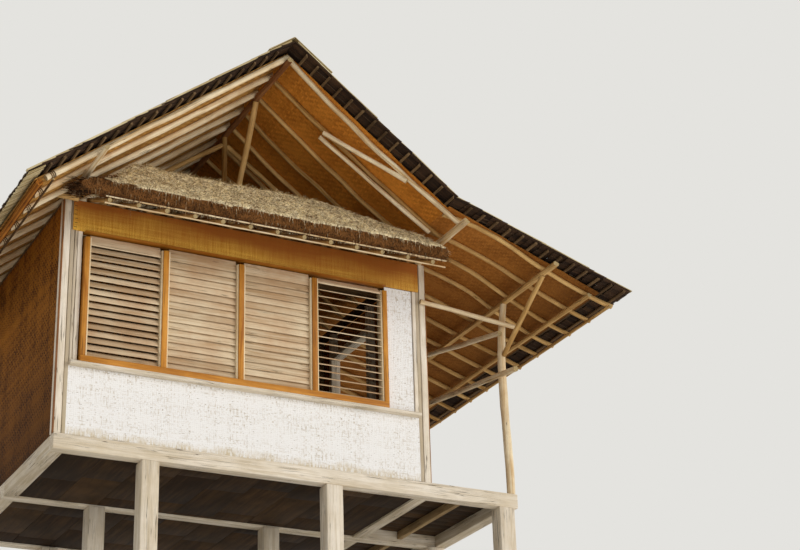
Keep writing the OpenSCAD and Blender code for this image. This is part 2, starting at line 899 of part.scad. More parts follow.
// Two poles lashed under the right slope, across its first rafters
module lashed_poles() {
  slope = [sin(main_pitch), 0, cos(main_pitch)];
  drop = (lashed_d / 2 + fit) / cos(main_pitch);
  function under(across, out) = [ridge_x + across, -out, main_under(ridge_x + across) - drop];
  color("burlywood")
    on_site() {
      strut(
        under(lashed_upper, lashed_outer_out),
        under(lashed_outer_lower, lashed_outer_out + lashed_outer_skew),
        lashed_d, [1, 0, 0], [1, 0, 0], slope
      );
      strut(
        under(lashed_upper, lashed_inner_out),
        under(lashed_inner_lower, lashed_inner_out + lashed_inner_skew),
        lashed_d, [1, 0, 0], [1, 0, 0], slope
      );
    }
}

mat_run = [-mat_out, room_d + mat_out];
shingle_run = [-verge_out, room_d + verge_out];
over_mat = mat_t + fit;
over_battens = over_mat + batten_t + fit;

module left_mat() {
  color("saddlebrown")
    on_site()
      roof_layer(sheet(left_end - batten_w, ridge_x - fit, fit, mat_t - fit), mat_run);
}

module right_mat() {
  color("saddlebrown")
    on_site()
      roof_layer(sheet(ridge_x + fit, break_x - fit, fit, mat_t - fit), mat_run);
}

module veranda_mat() {
  color("saddlebrown")
    on_site()
      roof_layer(
        sheet(break_x + fit, right_end - veranda_mat_short, fit, mat_t - fit),
        mat_run, veranda = true
      );
}

module roof_battens() {
  color("tan")
    on_site() {
      batten_row(ridge_x - batten_gap / 2, left_end);
      batten_row(ridge_x + batten_gap / 2, break_x - batten_w);
      batten_row(break_x + batten_w, right_end - batten_w, veranda = true);
    }
}

module left_shingles() {
  color("dimgray")
    on_site()
      roof_layer(courses(ridge_x - fit, left_eave, over_battens, shingle_butt), shingle_run);
}

module right_shingles() {
  color("dimgray")
    on_site()
      roof_layer(courses(ridge_x + fit, break_x - fit, over_battens, shingle_butt), shingle_run);
}

module veranda_shingles() {
  color("dimgray")
    on_site()
      roof_layer(
        courses(break_x + fit, right_eave, over_battens, shingle_butt + old_shingles),
        shingle_run, veranda = true
      );
}

module ridge_boards() {
  low = over_battens + shingle_butt + fit;
  reach = cap_l * cos(main_pitch);
  color("gray")
    on_site() {
      roof_layer(sheet(ridge_x - reach, ridge_x - fit, low, cap_t), shingle_run);
      roof_layer(sheet(ridge_x + fit, ridge_x + reach, low, cap_t), shingle_run);
    }
}

// A crooked post: level rings along its centre line, with a flat towards the front
module crooked_post(y) {
  points = [for (k = [0:len(post_line) - 1], s = [0:pole_sides - 1])
    let (
      a = (s + 0.5) * 360 / pole_sides,
      r = lookup(post_line[k][0], post_rs) / cos(180 / pole_sides)
    )
    [post_line[k][1] + r * cos(a), y + r * sin(a), post_line[k][0]]];
  polyhedron(points, stack_faces(len(post_line), pole_sides));
}

module veranda_posts() {
  color("wheat")
    on_site()
      for (y = [veranda_post_d / 2, room_d - veranda_post_d / 2])
        crooked_post(y);
}

// Middle of a pole tied to the inner side of a veranda post, at a height
function beside_post(y, z, d) =
  let (
    lean = (post_inner(z + 1) - post_inner(z - 1)) / 2,
    flat = d / 2 * tan(180 / pole_sides)
  )
  [post_inner(z) - d / 2 - fit - flat * lean, y, z];

// A pole past two places where it is tied, one of its flats towards them
module tied_pole(a, b, d, a_past, b_past) {
  along = unit(b - a);
  strut(a - along * a_past, b + along * b_past, d, [0, 1, 0], [0, 1, 0]);
}

// The tie laps the front of the house and of the front post. A rail climbs from the front post to
// the back one, and a wind brace from the front post to the inner purlin.
module veranda_rails() {
  left = [room_w - post_w * 2 / 3, tie_z];
  right = [purlin_x + tie_past, tie_z - tie_fall];
  post_y = veranda_post_d / 2;
  color("wheat")
    on_site() {
      translate([left[0], -tie_d / 2 - fit, left[1]])
        rotate([0, 90 + atan((left[1] - right[1]) / (right[0] - left[0])), 0])
          cylinder(d = tie_d, h = norm(right - left));
      tied_pole(
        beside_post(post_y, veranda_rail_z, veranda_rail_d),
        beside_post(room_d - post_y, veranda_rail_z + veranda_rail_rise, veranda_rail_d),
        veranda_rail_d, veranda_rail_past, tied_past
      );
      tied_pole(
        beside_post(post_y, wind_brace_z, wind_brace_d),
        [purlin_x - (purlin_d + wind_brace_d) / 2 - fit, wind_brace_l, purlin_z - pole_seat],
        wind_brace_d, tied_past, 0
      );
    }
}

module veranda_braces() {
  foot_x = lookup(brace_foot_z, post_line);
  color("wheat")
    on_site() {
      strut(
        [foot_x, -fit, brace_foot_z], [purlin_x, -brace_reach, purlin_foot],
        brace_d, [0, 1, 0], [0, 0, 1]
      );
      strut(
        [foot_x, room_d + fit, brace_foot_z], [purlin_x, room_d + brace_reach, purlin_foot],
        brace_d, [0, 1, 0], [0, 0, 1]
      );
    }
}

// A purlin under the veranda rafters, with its flat along the slope
module purlin(x, d, run, more_flats) {
  z = veranda_top(x) - (rafter_d + d / 2 - pole_seat + fit) / cos(veranda_pitch);
  hewn_pole(x, z, d, run, concat([[90 - veranda_pitch, pole_seat]], more_flats));
}

module veranda_purlins() {
  color("burlywood")
    on_site() {
      purlin(purlin_x, purlin_d, plate_run, [[270, pole_seat]]);
      purlin(purlin_x + outer_purlin_gap, outer_purlin_d, pole_run, []);
      purlin(purlin_x + eave_pole_gap, eave_pole_d, pole_run, []);
    }
}

// A round pole across the front, as [y, z] and its two ends
module cross_pole(place, d, low_x, high_x) {
  translate([low_x, place[0], place[1]])
    rotate([0, 90, 0])
      cylinder(d = d, h = high_x - low_x);
}

// Ribs that lean out over the top rail, and a short pole under the left wall plate
module awning_poles() {
  color("tan")
    on_site() {
      for (i = [0:ribs - 1])
        translate([first_rib + i * (room_w - first_rib - last_rib) / (ribs - 1), rib_end[0], rib_end[1]])
          rotate([rib_pitch - 90, 0, 0])
            cylinder(d = rib_d, h = (rib_out + rib_in) / cos(rib_pitch));
      cross_pole([band_y - stub_d / 2 - fit, wall_top - stub_d / 2 - fit], stub_d, -stub_past, stub_l);
    }
}

// Two laths hold the front ends of the ribs between them
module awning_sticks() {
  h = (rib_d + lath_d) / 2 + fit;
  color("tan")
    on_site()
      for (side = [-1, 1])
        cross_pole(over_rib(lath_in, side * h), lath_d, first_rib - lath_past, room_w - lath_short);
}

// The grass lies on the ribs, thicker towards the wall, with a rounded lip and a rounded crest. Both
// ends thin out.
module awning_thatch() {
  bed = over_rib(0, rib_d / 2 + lath_d + 2 * fit);
  low_x = -thatch_past;
  high_x = room_w - thatch_short;
  top_z = wall_top + crest_rise + crest_r * 1.1;
  color("khaki")
    on_site()
      intersection() {
        rotate([90, 0, 90])
          translate([0, 0, low_x])
            linear_extrude(high_x - low_x)
              hull() {
                polygon([bed, [-weave_t, bed[1] + (-weave_t - bed[0]) * tan(rib_pitch)], bed + [0, lip_r]]);
                translate([lip_r - thatch_out, rib_end[1] + lip_rise])
                  circle(lip_r);
                translate([-crest_out, wall_top + crest_rise])
                  circle(crest_r);
              }
        rotate([90, 0, 0])
          linear_extrude(thatch_out * 2, center = true)
            polygon([
              [low_x, wall_base],
              [high_x, wall_base],
              [high_x, bed[1] + thatch_end_h],
              [high_x - right_knee, bed[1] + thatch_knee_h],
              [high_x - right_shoulder, top_z],
              [low_x + left_shoulder, top_z],
              [low_x + left_knee, bed[1] + thatch_knee_h],
              [low_x, bed[1] + thatch_end_h]
            ]);
      }
}

stilts();
main_beams();
side_sills();
floor_joists();
floor_boards();
floor_lining();
veranda_deck();
corner_posts();
wall_studs();
top_rails();
tie_beams();
front_panels();
front_upper_band();
front_trims();
window_ledge();
window_rails();
window_stiles();
louvre_panel_1();
louvre_panel_2();
louvre_panel_3();
louvre_panel_4();
left_wall();
back_wall();
right_wall();
door_frame();
wall_plates();
king_posts();
ridge_struts();
ridge_pole();
left_rafters();
right_rafters();
lashed_poles();
left_mat();
right_mat();
roof_battens();
left_shingles();
right_shingles();
ridge_boards();
veranda_posts();
veranda_rails();
veranda_braces();
veranda_purlins();
veranda_rafters();
veranda_mat();
veranda_shingles();
awning_poles();
awning_sticks();
awning_thatch();
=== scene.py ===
# %% [markdown]
# # A stilt house of poles, boards and woven bamboo
# The imported model is the fixed frame: every beam, post and rafter already has its place and size.
# This lesson dresses that frame. Each piece is measured from the frame's own solids: a rafter is
# redrawn as a crooked pole along the same line, a beam as a sawn timber in the same block. The few
# small sizes that are given are named where they are used. Run the cells from the top.

import math
import random

import bmesh
import bpy
import numpy as np
from mathutils import Matrix, Vector, noise


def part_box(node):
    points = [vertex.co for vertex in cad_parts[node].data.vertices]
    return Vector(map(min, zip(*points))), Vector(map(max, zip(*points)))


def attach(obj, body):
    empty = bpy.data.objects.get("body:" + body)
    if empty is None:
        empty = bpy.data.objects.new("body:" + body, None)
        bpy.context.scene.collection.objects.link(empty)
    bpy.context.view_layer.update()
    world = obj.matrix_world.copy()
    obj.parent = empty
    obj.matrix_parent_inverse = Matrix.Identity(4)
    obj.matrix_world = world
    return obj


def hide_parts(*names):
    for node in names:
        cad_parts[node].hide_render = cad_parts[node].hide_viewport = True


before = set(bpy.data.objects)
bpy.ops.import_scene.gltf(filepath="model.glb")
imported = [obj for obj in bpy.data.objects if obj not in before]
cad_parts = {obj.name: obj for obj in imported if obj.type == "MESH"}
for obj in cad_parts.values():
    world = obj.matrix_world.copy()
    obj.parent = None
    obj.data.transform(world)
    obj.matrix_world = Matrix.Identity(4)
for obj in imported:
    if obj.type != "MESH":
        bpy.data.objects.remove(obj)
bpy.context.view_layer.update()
print("CAD nodes:", len(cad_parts))

# %% [markdown]
# ## Places
# A carpenter measures from one corner. Here it is the front left corner of the room, at the
# underside of the sill beams. `at()` turns a place from that corner into the frame, in metres.
# The two roof planes are the tops of the rafters: their pitches are known, and one point on each
# is read from the mats that lie on them.

# %% Places to measure from
corner = Vector((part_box("corner_posts")[0].x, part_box("corner_posts")[0].y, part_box("main_beams")[0].z))
room_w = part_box("corner_posts")[1].x - corner.x
room_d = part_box("corner_posts")[1].y - corner.y
main_pitch = math.radians(37.8)
veranda_pitch = math.radians(18.8)
mat_t = 0.008
ridge_x = room_w / 2


def at(x, y, z):
    """A place measured from the corner, in the frame."""
    return corner + Vector((x, y, z))


def local(point):
    """A place in the frame, measured from the corner."""
    return point - corner


ridge_top = local(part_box("right_mat")[1]).z - mat_t / math.cos(main_pitch)
break_x = local(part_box("veranda_mat")[0]).x
break_top = local(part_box("veranda_mat")[1]).z - mat_t / math.cos(veranda_pitch)


def main_top(x):
    """Height of the rafters' top over a place on the main roof."""
    return ridge_top - abs(x - ridge_x) * math.tan(main_pitch)


def veranda_top(x):
    """Height of the rafters' top over a place on the veranda roof."""
    return break_top - (x - break_x) * math.tan(veranda_pitch)


print("room", round(room_w, 3), "by", round(room_d, 3))
print("ridge top", round(ridge_top, 3), "and break of the roof at", round(break_x, 3))

# %% [markdown]
# ## Camera
# The photograph looks up at the house from below its front left corner. The straight edges of
# the front gave the camera back: its place, its three turns and its focal length.

# %% Camera at the photograph's place
camera_place = (-4.346, -14.61, -5.301)
camera_yaw = math.radians(27.741)
camera_pitch = math.radians(24.429)
camera_roll = math.radians(-1.704)
camera_lens = 84.80
sensor_width = 36


def camera_matrix():
    forward = Vector((
        math.sin(camera_yaw) * math.cos(camera_pitch),
        math.cos(camera_yaw) * math.cos(camera_pitch),
        math.sin(camera_pitch),
    ))
    level = Vector((math.cos(camera_yaw), -math.sin(camera_yaw), 0))
    upright = level.cross(forward)
    right = level * math.cos(camera_roll) + upright * math.sin(camera_roll)
    up = -level * math.sin(camera_roll) + upright * math.cos(camera_roll)
    turn = Matrix((right, up, -forward)).transposed().to_4x4()
    return Matrix.Translation(at(*camera_place)) @ turn


camera_data = bpy.data.cameras.new("camera")
camera_data.lens = camera_lens
camera_data.sensor_width = sensor_width
camera_data.sensor_fit = "HORIZONTAL"
camera_data.clip_end = 200
camera = bpy.data.objects.new("camera", camera_data)
camera.matrix_world = camera_matrix()
bpy.context.scene.collection.objects.link(camera)
bpy.context.scene.camera = camera
print("camera at", [round(c, 2) for c in camera.location])

# %% [markdown]
# ## Wiring materials
# Shader trees are easier to read when adding a node, joining it and doing a sum are one short
# call each. `Wires` does only that. Colours are written as a painter would, in sRGB hex, and
# turned into the linear numbers that the shader wants.

# %% A small helper for shader trees
def paint(code):
    """A linear colour from an sRGB hex code."""
    parts = [int(code[i:i + 2], 16) / 255 for i in (1, 3, 5)]
    return (*[p / 12.92 if p <= 0.04045 else ((p + 0.055) / 1.055) ** 2.4 for p in parts], 1.0)


class Wires:
    """Adds the nodes of one tree and joins them."""

    def __init__(self, tree):
        self.tree = tree

    def put(self, socket, value):
        if isinstance(value, bpy.types.NodeSocket):
            self.tree.links.new(value, socket)
        else:
            socket.default_value = value

    def add(self, kind, values=None, **settings):
        node = self.tree.nodes.new("ShaderNode" + kind)
        for name, setting in settings.items():
            setattr(node, name, setting)
        for name, value in (values or {}).items():
            self.put(node.inputs[name], value)
        return node

    def sum(self, operation, a, b=0.0, clamp=False):
        return self.add("Math", {0: a, 1: b}, operation=operation, use_clamp=clamp).outputs[0]

    def scaled(self, vector, factors):
        node = self.add("VectorMath", {0: vector, 1: factors}, operation="MULTIPLY")
        return node.outputs[0]

    def noise(self, vector, scale, detail=2.0, roughness=0.5, distortion=0.0):
        values = {
            "Vector": vector,
            "Scale": scale,
            "Detail": detail,
            "Roughness": roughness,
            "Distortion": distortion,
        }
        return self.add("TexNoise", values).outputs["Fac"]

    def stretched(self, vector, factors, **settings):
        """Noise that is finer or coarser along each axis."""
        return self.noise(self.scaled(vector, factors), 1.0, **settings)

    def between(self, value, low, high, to_low=0.0, to_high=1.0):
        """The value mapped from one range to another and held inside it."""
        values = {0: value, 1: low, 2: high, 3: to_low, 4: to_high}
        return self.add("MapRange", values, clamp=True).outputs[0]

    def blend(self, share, a, b, kind="MIX"):
        node = self.add("Mix", data_type="RGBA", blend_type=kind)
        self.put(node.inputs[0], share)
        self.put(node.inputs[6], a)
        self.put(node.inputs[7], b)
        return node.outputs[2]

    def shaded(self, colour, shade):
        """The colour times a value."""
        grey = self.add("CombineColor", {0: shade, 1: shade, 2: shade}).outputs[0]
        return self.blend(1.0, colour, grey, "MULTIPLY")

    def attribute(self, name, output="Vector"):
        return self.add("Attribute", attribute_name=name).outputs[output]


print("mid grey, #808080, is", round(paint("#808080")[0], 3), "in linear light")

# %% [markdown]
# ## Groups
# What many finishes share is wired once, in a node group with named sockets. A finish then only
# sets the sockets and goes on from the group's outputs.

# %% Make and use a node group
def new_group(name, inputs, outputs):
    """A shader node group with named sockets, and the Wires that fill it."""
    tree = bpy.data.node_groups.new(name, "ShaderNodeTree")
    for label, kind, value in inputs:
        socket = tree.interface.new_socket(label, in_out="INPUT", socket_type="NodeSocket" + kind)
        if value is not None:
            socket.default_value = value
    for label, kind in outputs:
        tree.interface.new_socket(label, in_out="OUTPUT", socket_type="NodeSocket" + kind)
    wires = Wires(tree)
    start = tree.nodes.new("NodeGroupInput")
    end = tree.nodes.new("NodeGroupOutput")
    return tree, wires, start.outputs, end.inputs


def use_group(wires, tree, values):
    """A group's node in a tree, its inputs filled; it gives back the outputs."""
    node = wires.tree.nodes.new("ShaderNodeGroup")
    node.node_tree = tree
    for name, value in values.items():
        wires.put(node.inputs[name], value)
    return node.outputs


print("node groups can be made and used")

# %% [markdown]
# ## Floor and light
# The camera stands below the ground here, because the real house stands on a rock above the
# photographer. So the floor is opaque from above, where it catches the shadow and throws light
# back up under the roof, and clear from below. A low soft sun from the front right lights the
# front and the left slope's rafters, as late sun does. A second one stands for the bright open
# ground in front and reaches up under the eaves, so the floor must not shade it.

# %% Floor, world and lamps
floor_size = 120
sky_strength = 0.68
suns = {
    "low_sun": {"strength": 1.0, "softness": 30, "turn": 42, "height": 14},
    "ground_glow": {"strength": 1.05, "softness": 70, "turn": 25, "height": -36},
}


def make_floor():
    bm = bmesh.new()
    bmesh.ops.create_grid(bm, x_segments=1, y_segments=1, size=floor_size / 2)
    mesh = bpy.data.meshes.new("floor")
    bm.to_mesh(mesh)
    bm.free()
    floor = bpy.data.objects.new("floor", mesh)
    bpy.context.scene.collection.objects.link(floor)
    material = bpy.data.materials.new("pale_floor")
    material.use_nodes = True
    wires = Wires(material.node_tree)
    shader = material.node_tree.nodes["Principled BSDF"]
    shader.inputs["Base Color"].default_value = paint("#DAD8D3")
    shader.inputs["Roughness"].default_value = 0.9
    clear = wires.add("BsdfTransparent").outputs[0]
    side = wires.add("NewGeometry").outputs["Backfacing"]
    mixed = wires.add("MixShader", {0: side, 1: shader.outputs[0], 2: clear}).outputs[0]
    wires.put(material.node_tree.nodes["Material Output"].inputs["Surface"], mixed)
    mesh.materials.append(material)
    floor.visible_shadow = False


def make_world():
    world = bpy.data.worlds.new("studio")
    bpy.context.scene.world = world
    world.use_nodes = True
    wires = Wires(world.node_tree)
    rays = wires.add("LightPath").outputs
    seen = wires.sum("MAXIMUM", rays["Is Camera Ray"], rays["Is Glossy Ray"])
    seen = wires.sum("MAXIMUM", seen, rays["Is Transmission Ray"])
    back = world.node_tree.nodes["Background"]
    back.inputs["Color"].default_value = (1.0, 0.985, 0.96, 1)
    back.inputs["Strength"].default_value = sky_strength
    show = wires.add("Background", {"Color": paint("#E4E3DF"), "Strength": 1.0}).outputs[0]
    mixed = wires.add("MixShader", {0: seen, 1: back.outputs[0], 2: show}).outputs[0]
    wires.put(world.node_tree.nodes["World Output"].inputs["Surface"], mixed)


def make_sun(name, strength, softness, turn, height):
    data = bpy.data.lights.new(name, "SUN")
    data.energy = strength
    data.angle = math.radians(softness)
    data.color = (1.0, 0.975, 0.93)
    sun = bpy.data.objects.new(name, data)
    turn, height = math.radians(turn), math.radians(height)
    towards = Vector((
        math.sin(turn) * math.cos(height),
        -math.cos(turn) * math.cos(height),
        math.sin(height),
    ))
    sun.matrix_world = towards.to_track_quat("Z", "Y").to_matrix().to_4x4()
    bpy.context.scene.collection.objects.link(sun)


bpy.context.scene.view_settings.view_transform = "Standard"
make_floor()
make_world()
for name, settings in suns.items():
    make_sun(name, **settings)
print("floor, sky and", len(suns), "soft suns")

# %% [markdown]
# ## Grain, the shared effect of all the wood
# Nearly all of this house is wood, and what makes wood look real is that its grain runs along
# each stick. So every stick carries two attributes on its points: `grain`, the place of the
# point in the stick with Z along its length, and `tone`, a number of its own from 0 to 1. The
# group stretches noise along that Z: fine fibres, broad figure, and drying checks.

# %% The grain group
def make_grain_group():
    inputs = [("Grain", "Vector", None), ("Checks", "Float", 0.5)]
    outputs = [("Fibre", "Float"), ("Figure", "Float"), ("Check", "Float"), ("Height", "Float")]
    tree, w, given, result = new_group("wood_grain", inputs, outputs)
    fibre = w.stretched(given["Grain"], (300, 300, 9), detail=4, roughness=0.65)
    figure = w.stretched(given["Grain"], (30, 30, 1.7), detail=3, distortion=0.9)
    split = w.stretched(given["Grain"], (60, 60, 1.3), detail=1)
    split = w.between(w.sum("ABSOLUTE", w.sum("SUBTRACT", split, 0.5)), 0.0, 0.018, 1.0, 0.0)
    patch = w.stretched(given["Grain"], (9, 9, 2.2), detail=1)
    patch = w.between(w.sum("ADD", patch, w.sum("MULTIPLY", given["Checks"], 0.3)), 0.62, 0.7)
    check = w.sum("MULTIPLY", split, patch)
    height = w.sum("ADD", w.sum("MULTIPLY", fibre, 0.35), w.sum("MULTIPLY", figure, 0.5))
    height = w.sum("SUBTRACT", height, w.sum("MULTIPLY", check, 0.8))
    for name, value in (("Fibre", fibre), ("Figure", figure), ("Check", check), ("Height", height)):
        w.put(result[name], value)
    return tree


grain_group = make_grain_group()
print("group", grain_group.name)

# %% [markdown]
# ## Weather, the shared effect of everything outdoors
# Sun, rain and dust leave blotches some hand-widths across and fine specks. They belong to the
# place on the house, not to the stick, so this group reads Object coordinates.

# %% The weather group
def make_weather_group():
    inputs = [("Place", "Vector", None), ("Size", "Float", 1.0)]
    outputs = [("Blotch", "Float"), ("Speck", "Float")]
    tree, w, given, result = new_group("weather", inputs, outputs)
    scale = w.sum("DIVIDE", 3.0, given["Size"])
    blotch = w.between(w.noise(given["Place"], scale, detail=5, roughness=0.6), 0.38, 0.66)
    speck = w.between(w.noise(given["Place"], 90.0, detail=2), 0.62, 0.74)
    for name, value in (("Blotch", blotch), ("Speck", speck)):
        w.put(result[name], value)
    return tree


weather_group = make_weather_group()
print("group", weather_group.name)

# %% [markdown]
# ## Weave, the shared effect of walls, band and mats
# Split bamboo is woven over and under. Two sets of strips cross; whole-number coordinates count
# them, and the sum of the two counts says which one is on top. A period of 2 is a plain weave,
# and 4 is a twill, whose floats step sideways from row to row.

# %% The weave group
def make_weave_group():
    inputs = [("Grain", "Vector", None), ("Strip", "Float", 0.012), ("Period", "Float", 2.0)]
    outputs = [("Height", "Float"), ("Over", "Float"), ("Tone", "Float"), ("Gap", "Float")]
    tree, w, given, result = new_group("bamboo_weave", inputs, outputs)
    axes = w.add("SeparateXYZ", {0: given["Grain"]}).outputs
    across = w.sum("DIVIDE", axes["X"], given["Strip"])
    along = w.sum("DIVIDE", axes["Y"], given["Strip"])
    count = [w.sum("FLOOR", place) for place in (across, along)]
    inside = [w.sum("FRACT", place) for place in (across, along)]
    half = w.sum("MULTIPLY", given["Period"], 0.5)
    phase = w.sum("FLOORED_MODULO", w.sum("ADD", count[0], count[1]), given["Period"])
    over = w.sum("LESS_THAN", phase, w.sum("SUBTRACT", half, 0.5))
    under = w.sum("SUBTRACT", 1.0, over)
    rounds = []
    for share in inside:
        off = w.sum("ABSOLUTE", w.sum("SUBTRACT", share, 0.5))
        rounds.append(w.between(off, 0.5, 0.3, 0.0, 1.0))
    top = w.sum("ADD", w.sum("MULTIPLY", over, rounds[0]), w.sum("MULTIPLY", under, rounds[1]))
    way = [
        w.sum("DIVIDE", w.sum("ADD", phase, inside[1]), half),
        w.sum("DIVIDE", w.sum("ADD", w.sum("SUBTRACT", phase, half), inside[0]), half),
    ]
    swell = [w.sum("SINE", w.sum("MULTIPLY", place, math.pi)) for place in way]
    swell = w.sum("ADD", w.sum("MULTIPLY", over, swell[0]), w.sum("MULTIPLY", under, swell[1]))
    height = w.sum("MULTIPLY", top, w.sum("ADD", 0.45, w.sum("MULTIPLY", swell, 0.55)))
    tones = [w.add("TexWhiteNoise", {"W": c}, noise_dimensions="1D").outputs["Value"] for c in count]
    tone = w.sum("ADD", w.sum("MULTIPLY", over, tones[0]), w.sum("MULTIPLY", under, tones[1]))
    gap = w.between(height, 0.16, 0.02)
    for name, value in (("Height", height), ("Over", over), ("Tone", tone), ("Gap", gap)):
        w.put(result[name], value)
    return tree


weave_group = make_weave_group()
print("group", weave_group.name)

# %% [markdown]
# ## Finishes
# Each finish is a short recipe on those groups. A material starts from its roughness and a low
# shine, because dry wood and bamboo hardly mirror the sky. Relief goes in as bump.

# %% Start a material
def new_material(name, roughness, shine=0.2):
    material = bpy.data.materials.new(name)
    material.use_nodes = True
    shader = material.node_tree.nodes["Principled BSDF"]
    shader.inputs["Roughness"].default_value = roughness
    shader.inputs["Specular IOR Level"].default_value = shine
    return material, Wires(material.node_tree), shader


def bump(wires, shader, height, distance, strength=1.0):
    node = wires.add("Bump", {"Height": height})
    node.inputs["Distance"].default_value = distance
    node.inputs["Strength"].default_value = strength
    wires.put(shader.inputs["Normal"], node.outputs[0])


print("materials start with a shine of 0.2")

# %% [markdown]
# ## Wood finishes
# Debarked poles, bleached posts, sawn boards and shingles differ in their colours, how deep the
# fibres stand and how many checks they have, so one function makes them all. Each row gives the
# light and dark wood, the colour in the checks and that of the stains, then the amounts. Poles
# in the weather went pale. Most poles under the roof are golden or red-brown, and the golden wood
# is partly painted shade: a darker copy of the pale poles for those that lie in the shade.

# %% Wood finishes
def wood(name, light, dark, check, stain, roughness=0.8, checks=0.5, stains=0.5, relief=0.0015):
    """Wood with its grain along the stick, blotches from the weather, and drying checks."""
    material, w, shader = new_material(name, roughness)
    grain = use_group(w, grain_group, {"Grain": w.attribute("grain"), "Checks": checks})
    tone = w.attribute("tone", "Fac")
    place = w.add("TexCoord").outputs["Object"]
    weather = use_group(w, weather_group, {"Place": place, "Size": 1.0})
    share = w.sum("ADD", w.between(grain["Figure"], 0.35, 0.68), w.sum("SUBTRACT", tone, 0.5), clamp=True)
    colour = w.blend(share, paint(light), paint(dark))
    colour = w.blend(w.sum("MULTIPLY", weather["Blotch"], stains), colour, paint(stain))
    shade = w.between(grain["Fibre"], 0.3, 0.7, 0.82, 1.08)
    shade = w.sum("MULTIPLY", shade, w.between(tone, 0.0, 1.0, 1.08, 0.86))
    colour = w.shaded(colour, shade)
    colour = w.blend(grain["Check"], colour, paint(check))
    w.put(shader.inputs["Base Color"], colour)
    bump(w, shader, grain["Height"], relief)
    return material


heart_colour = "#4A3826"


def cut_end(name, light, dark):
    """Sawn end grain: rings round the heart of the pole, and a few checks."""
    material, w, shader = new_material(name, 0.85)
    axes = w.add("SeparateXYZ", {0: w.attribute("grain")}).outputs
    flat = w.add("CombineXYZ", {0: axes["X"], 1: axes["Y"]}).outputs[0]
    reach = w.add("VectorMath", {0: flat}, operation="LENGTH").outputs["Value"]
    wobble = w.noise(flat, 60.0)
    rings = w.sum("SINE", w.sum("ADD", w.sum("MULTIPLY", reach, 900.0), w.sum("MULTIPLY", wobble, 9.0)))
    colour = w.blend(w.between(rings, -1.0, 1.0), paint(light), paint(dark))
    heart = w.between(w.sum("ABSOLUTE", w.sum("SUBTRACT", wobble, 0.5)), 0.0, 0.03, 0.7, 0.0)
    w.put(shader.inputs["Base Color"], w.blend(heart, colour, paint(heart_colour)))
    bump(w, shader, rings, 0.0005)
    return material


woods = {
    "bleached_timber": ("#F2E8D8", "#D2C2A8", "#54442F", "#C2AE88", 0.85, 0.5, 0.4),
    "pole_wood": ("#F8E8C6", "#CFA86E", "#4E3820", "#B48A52", 0.7, 0.35, 0.5),
    # golden_pole: golden wood, made darker in part as painted shade for poles in the shade.
    "golden_pole": ("#E0B878", "#A67A3C", "#3E2A16", "#8C6230", 0.7, 0.35, 0.5),
    # shaded_pole is painted shade: the dark under the eaves.
    "shaded_pole": ("#7A5C3A", "#4A3520", "#20160C", "#3A2818", 0.8, 0.35, 0.5),
    "red_pole": ("#B07A4A", "#7A4A26", "#3A2212", "#6A3C1E", 0.75, 0.4, 0.5),
    "hidden_timber": ("#B39A72", "#8A6B44", "#3C2B1A", "#6F5535", 0.8, 0.4, 0.5),
    # floor_wood is dark wood, darkened further as painted shade for the floor's underside.
    "floor_wood": ("#503A22", "#301F10", "#140C07", "#241809", 0.75, 0.3, 0.6),
    "varnished_frame": ("#D6943A", "#A8661C", "#5A3210", "#96560F", 0.5, 0.1, 0.45, 0.0006),
    "frame_edge": ("#F2E2C0", "#DCC190", "#8A6A40", "#CFB588", 0.6, 0.1, 0.3, 0.0006),
    "slat_wood": ("#E2CEAE", "#C2A47E", "#5B4630", "#BE9064", 0.62, 0.3, 0.5, 0.0008),
    "batten_wood": ("#826848", "#54402A", "#2E2216", "#57412B", 0.8, 0.5, 0.5),
    "shingle_wood": ("#8F7D65", "#55463A", "#241B14", "#3E3026", 0.85, 0.6, 0.55, 0.002),
    # shingle_under is partly unweathered wood and partly painted shade on the undersides.
    "shingle_under": ("#4E3826", "#2A1C14", "#140C08", "#33241A", 0.85, 0.6, 0.5),
    # pale_strip on the left eave's starter course is painted light from below.
    "pale_strip": ("#D8C9A0", "#A8905F", "#5A4426", "#B09A70", 0.75, 0.5, 0.4, 0.001),
    "cane_winding": ("#8A6A40", "#2E1E10", "#140C06", "#3A2614", 0.6, 0.2, 0.4, 0.0005),
}
finish = {name: wood(name, *look) for name, look in woods.items()}
finish["cut_end"] = cut_end("cut_end", "#C9B488", "#9A7F50")
print("wood finishes:", ", ".join(finish))

# %% [markdown]
# ## Bare woven bamboo
# The side walls, the back and the mats are bare split bamboo gone brown. The weave group gives the
# relief and says which strip a point lies on. Each strip has its own tone, and `contrast` sets the
# two directions apart, as light falls on them differently. A wall grows darker towards its foot,
# which is painted shade.

# %% Bare weave
def start_weave(name, roughness, shine, strip, period):
    """A new material with its weave, and its places along the sheet and in the house."""
    material, w, shader = new_material(name, roughness, shine)
    spot = w.attribute("grain")
    weave = use_group(w, weave_group, {"Grain": spot, "Strip": strip, "Period": period})
    place = w.add("TexCoord").outputs["Object"]
    return material, w, shader, weave, spot, place


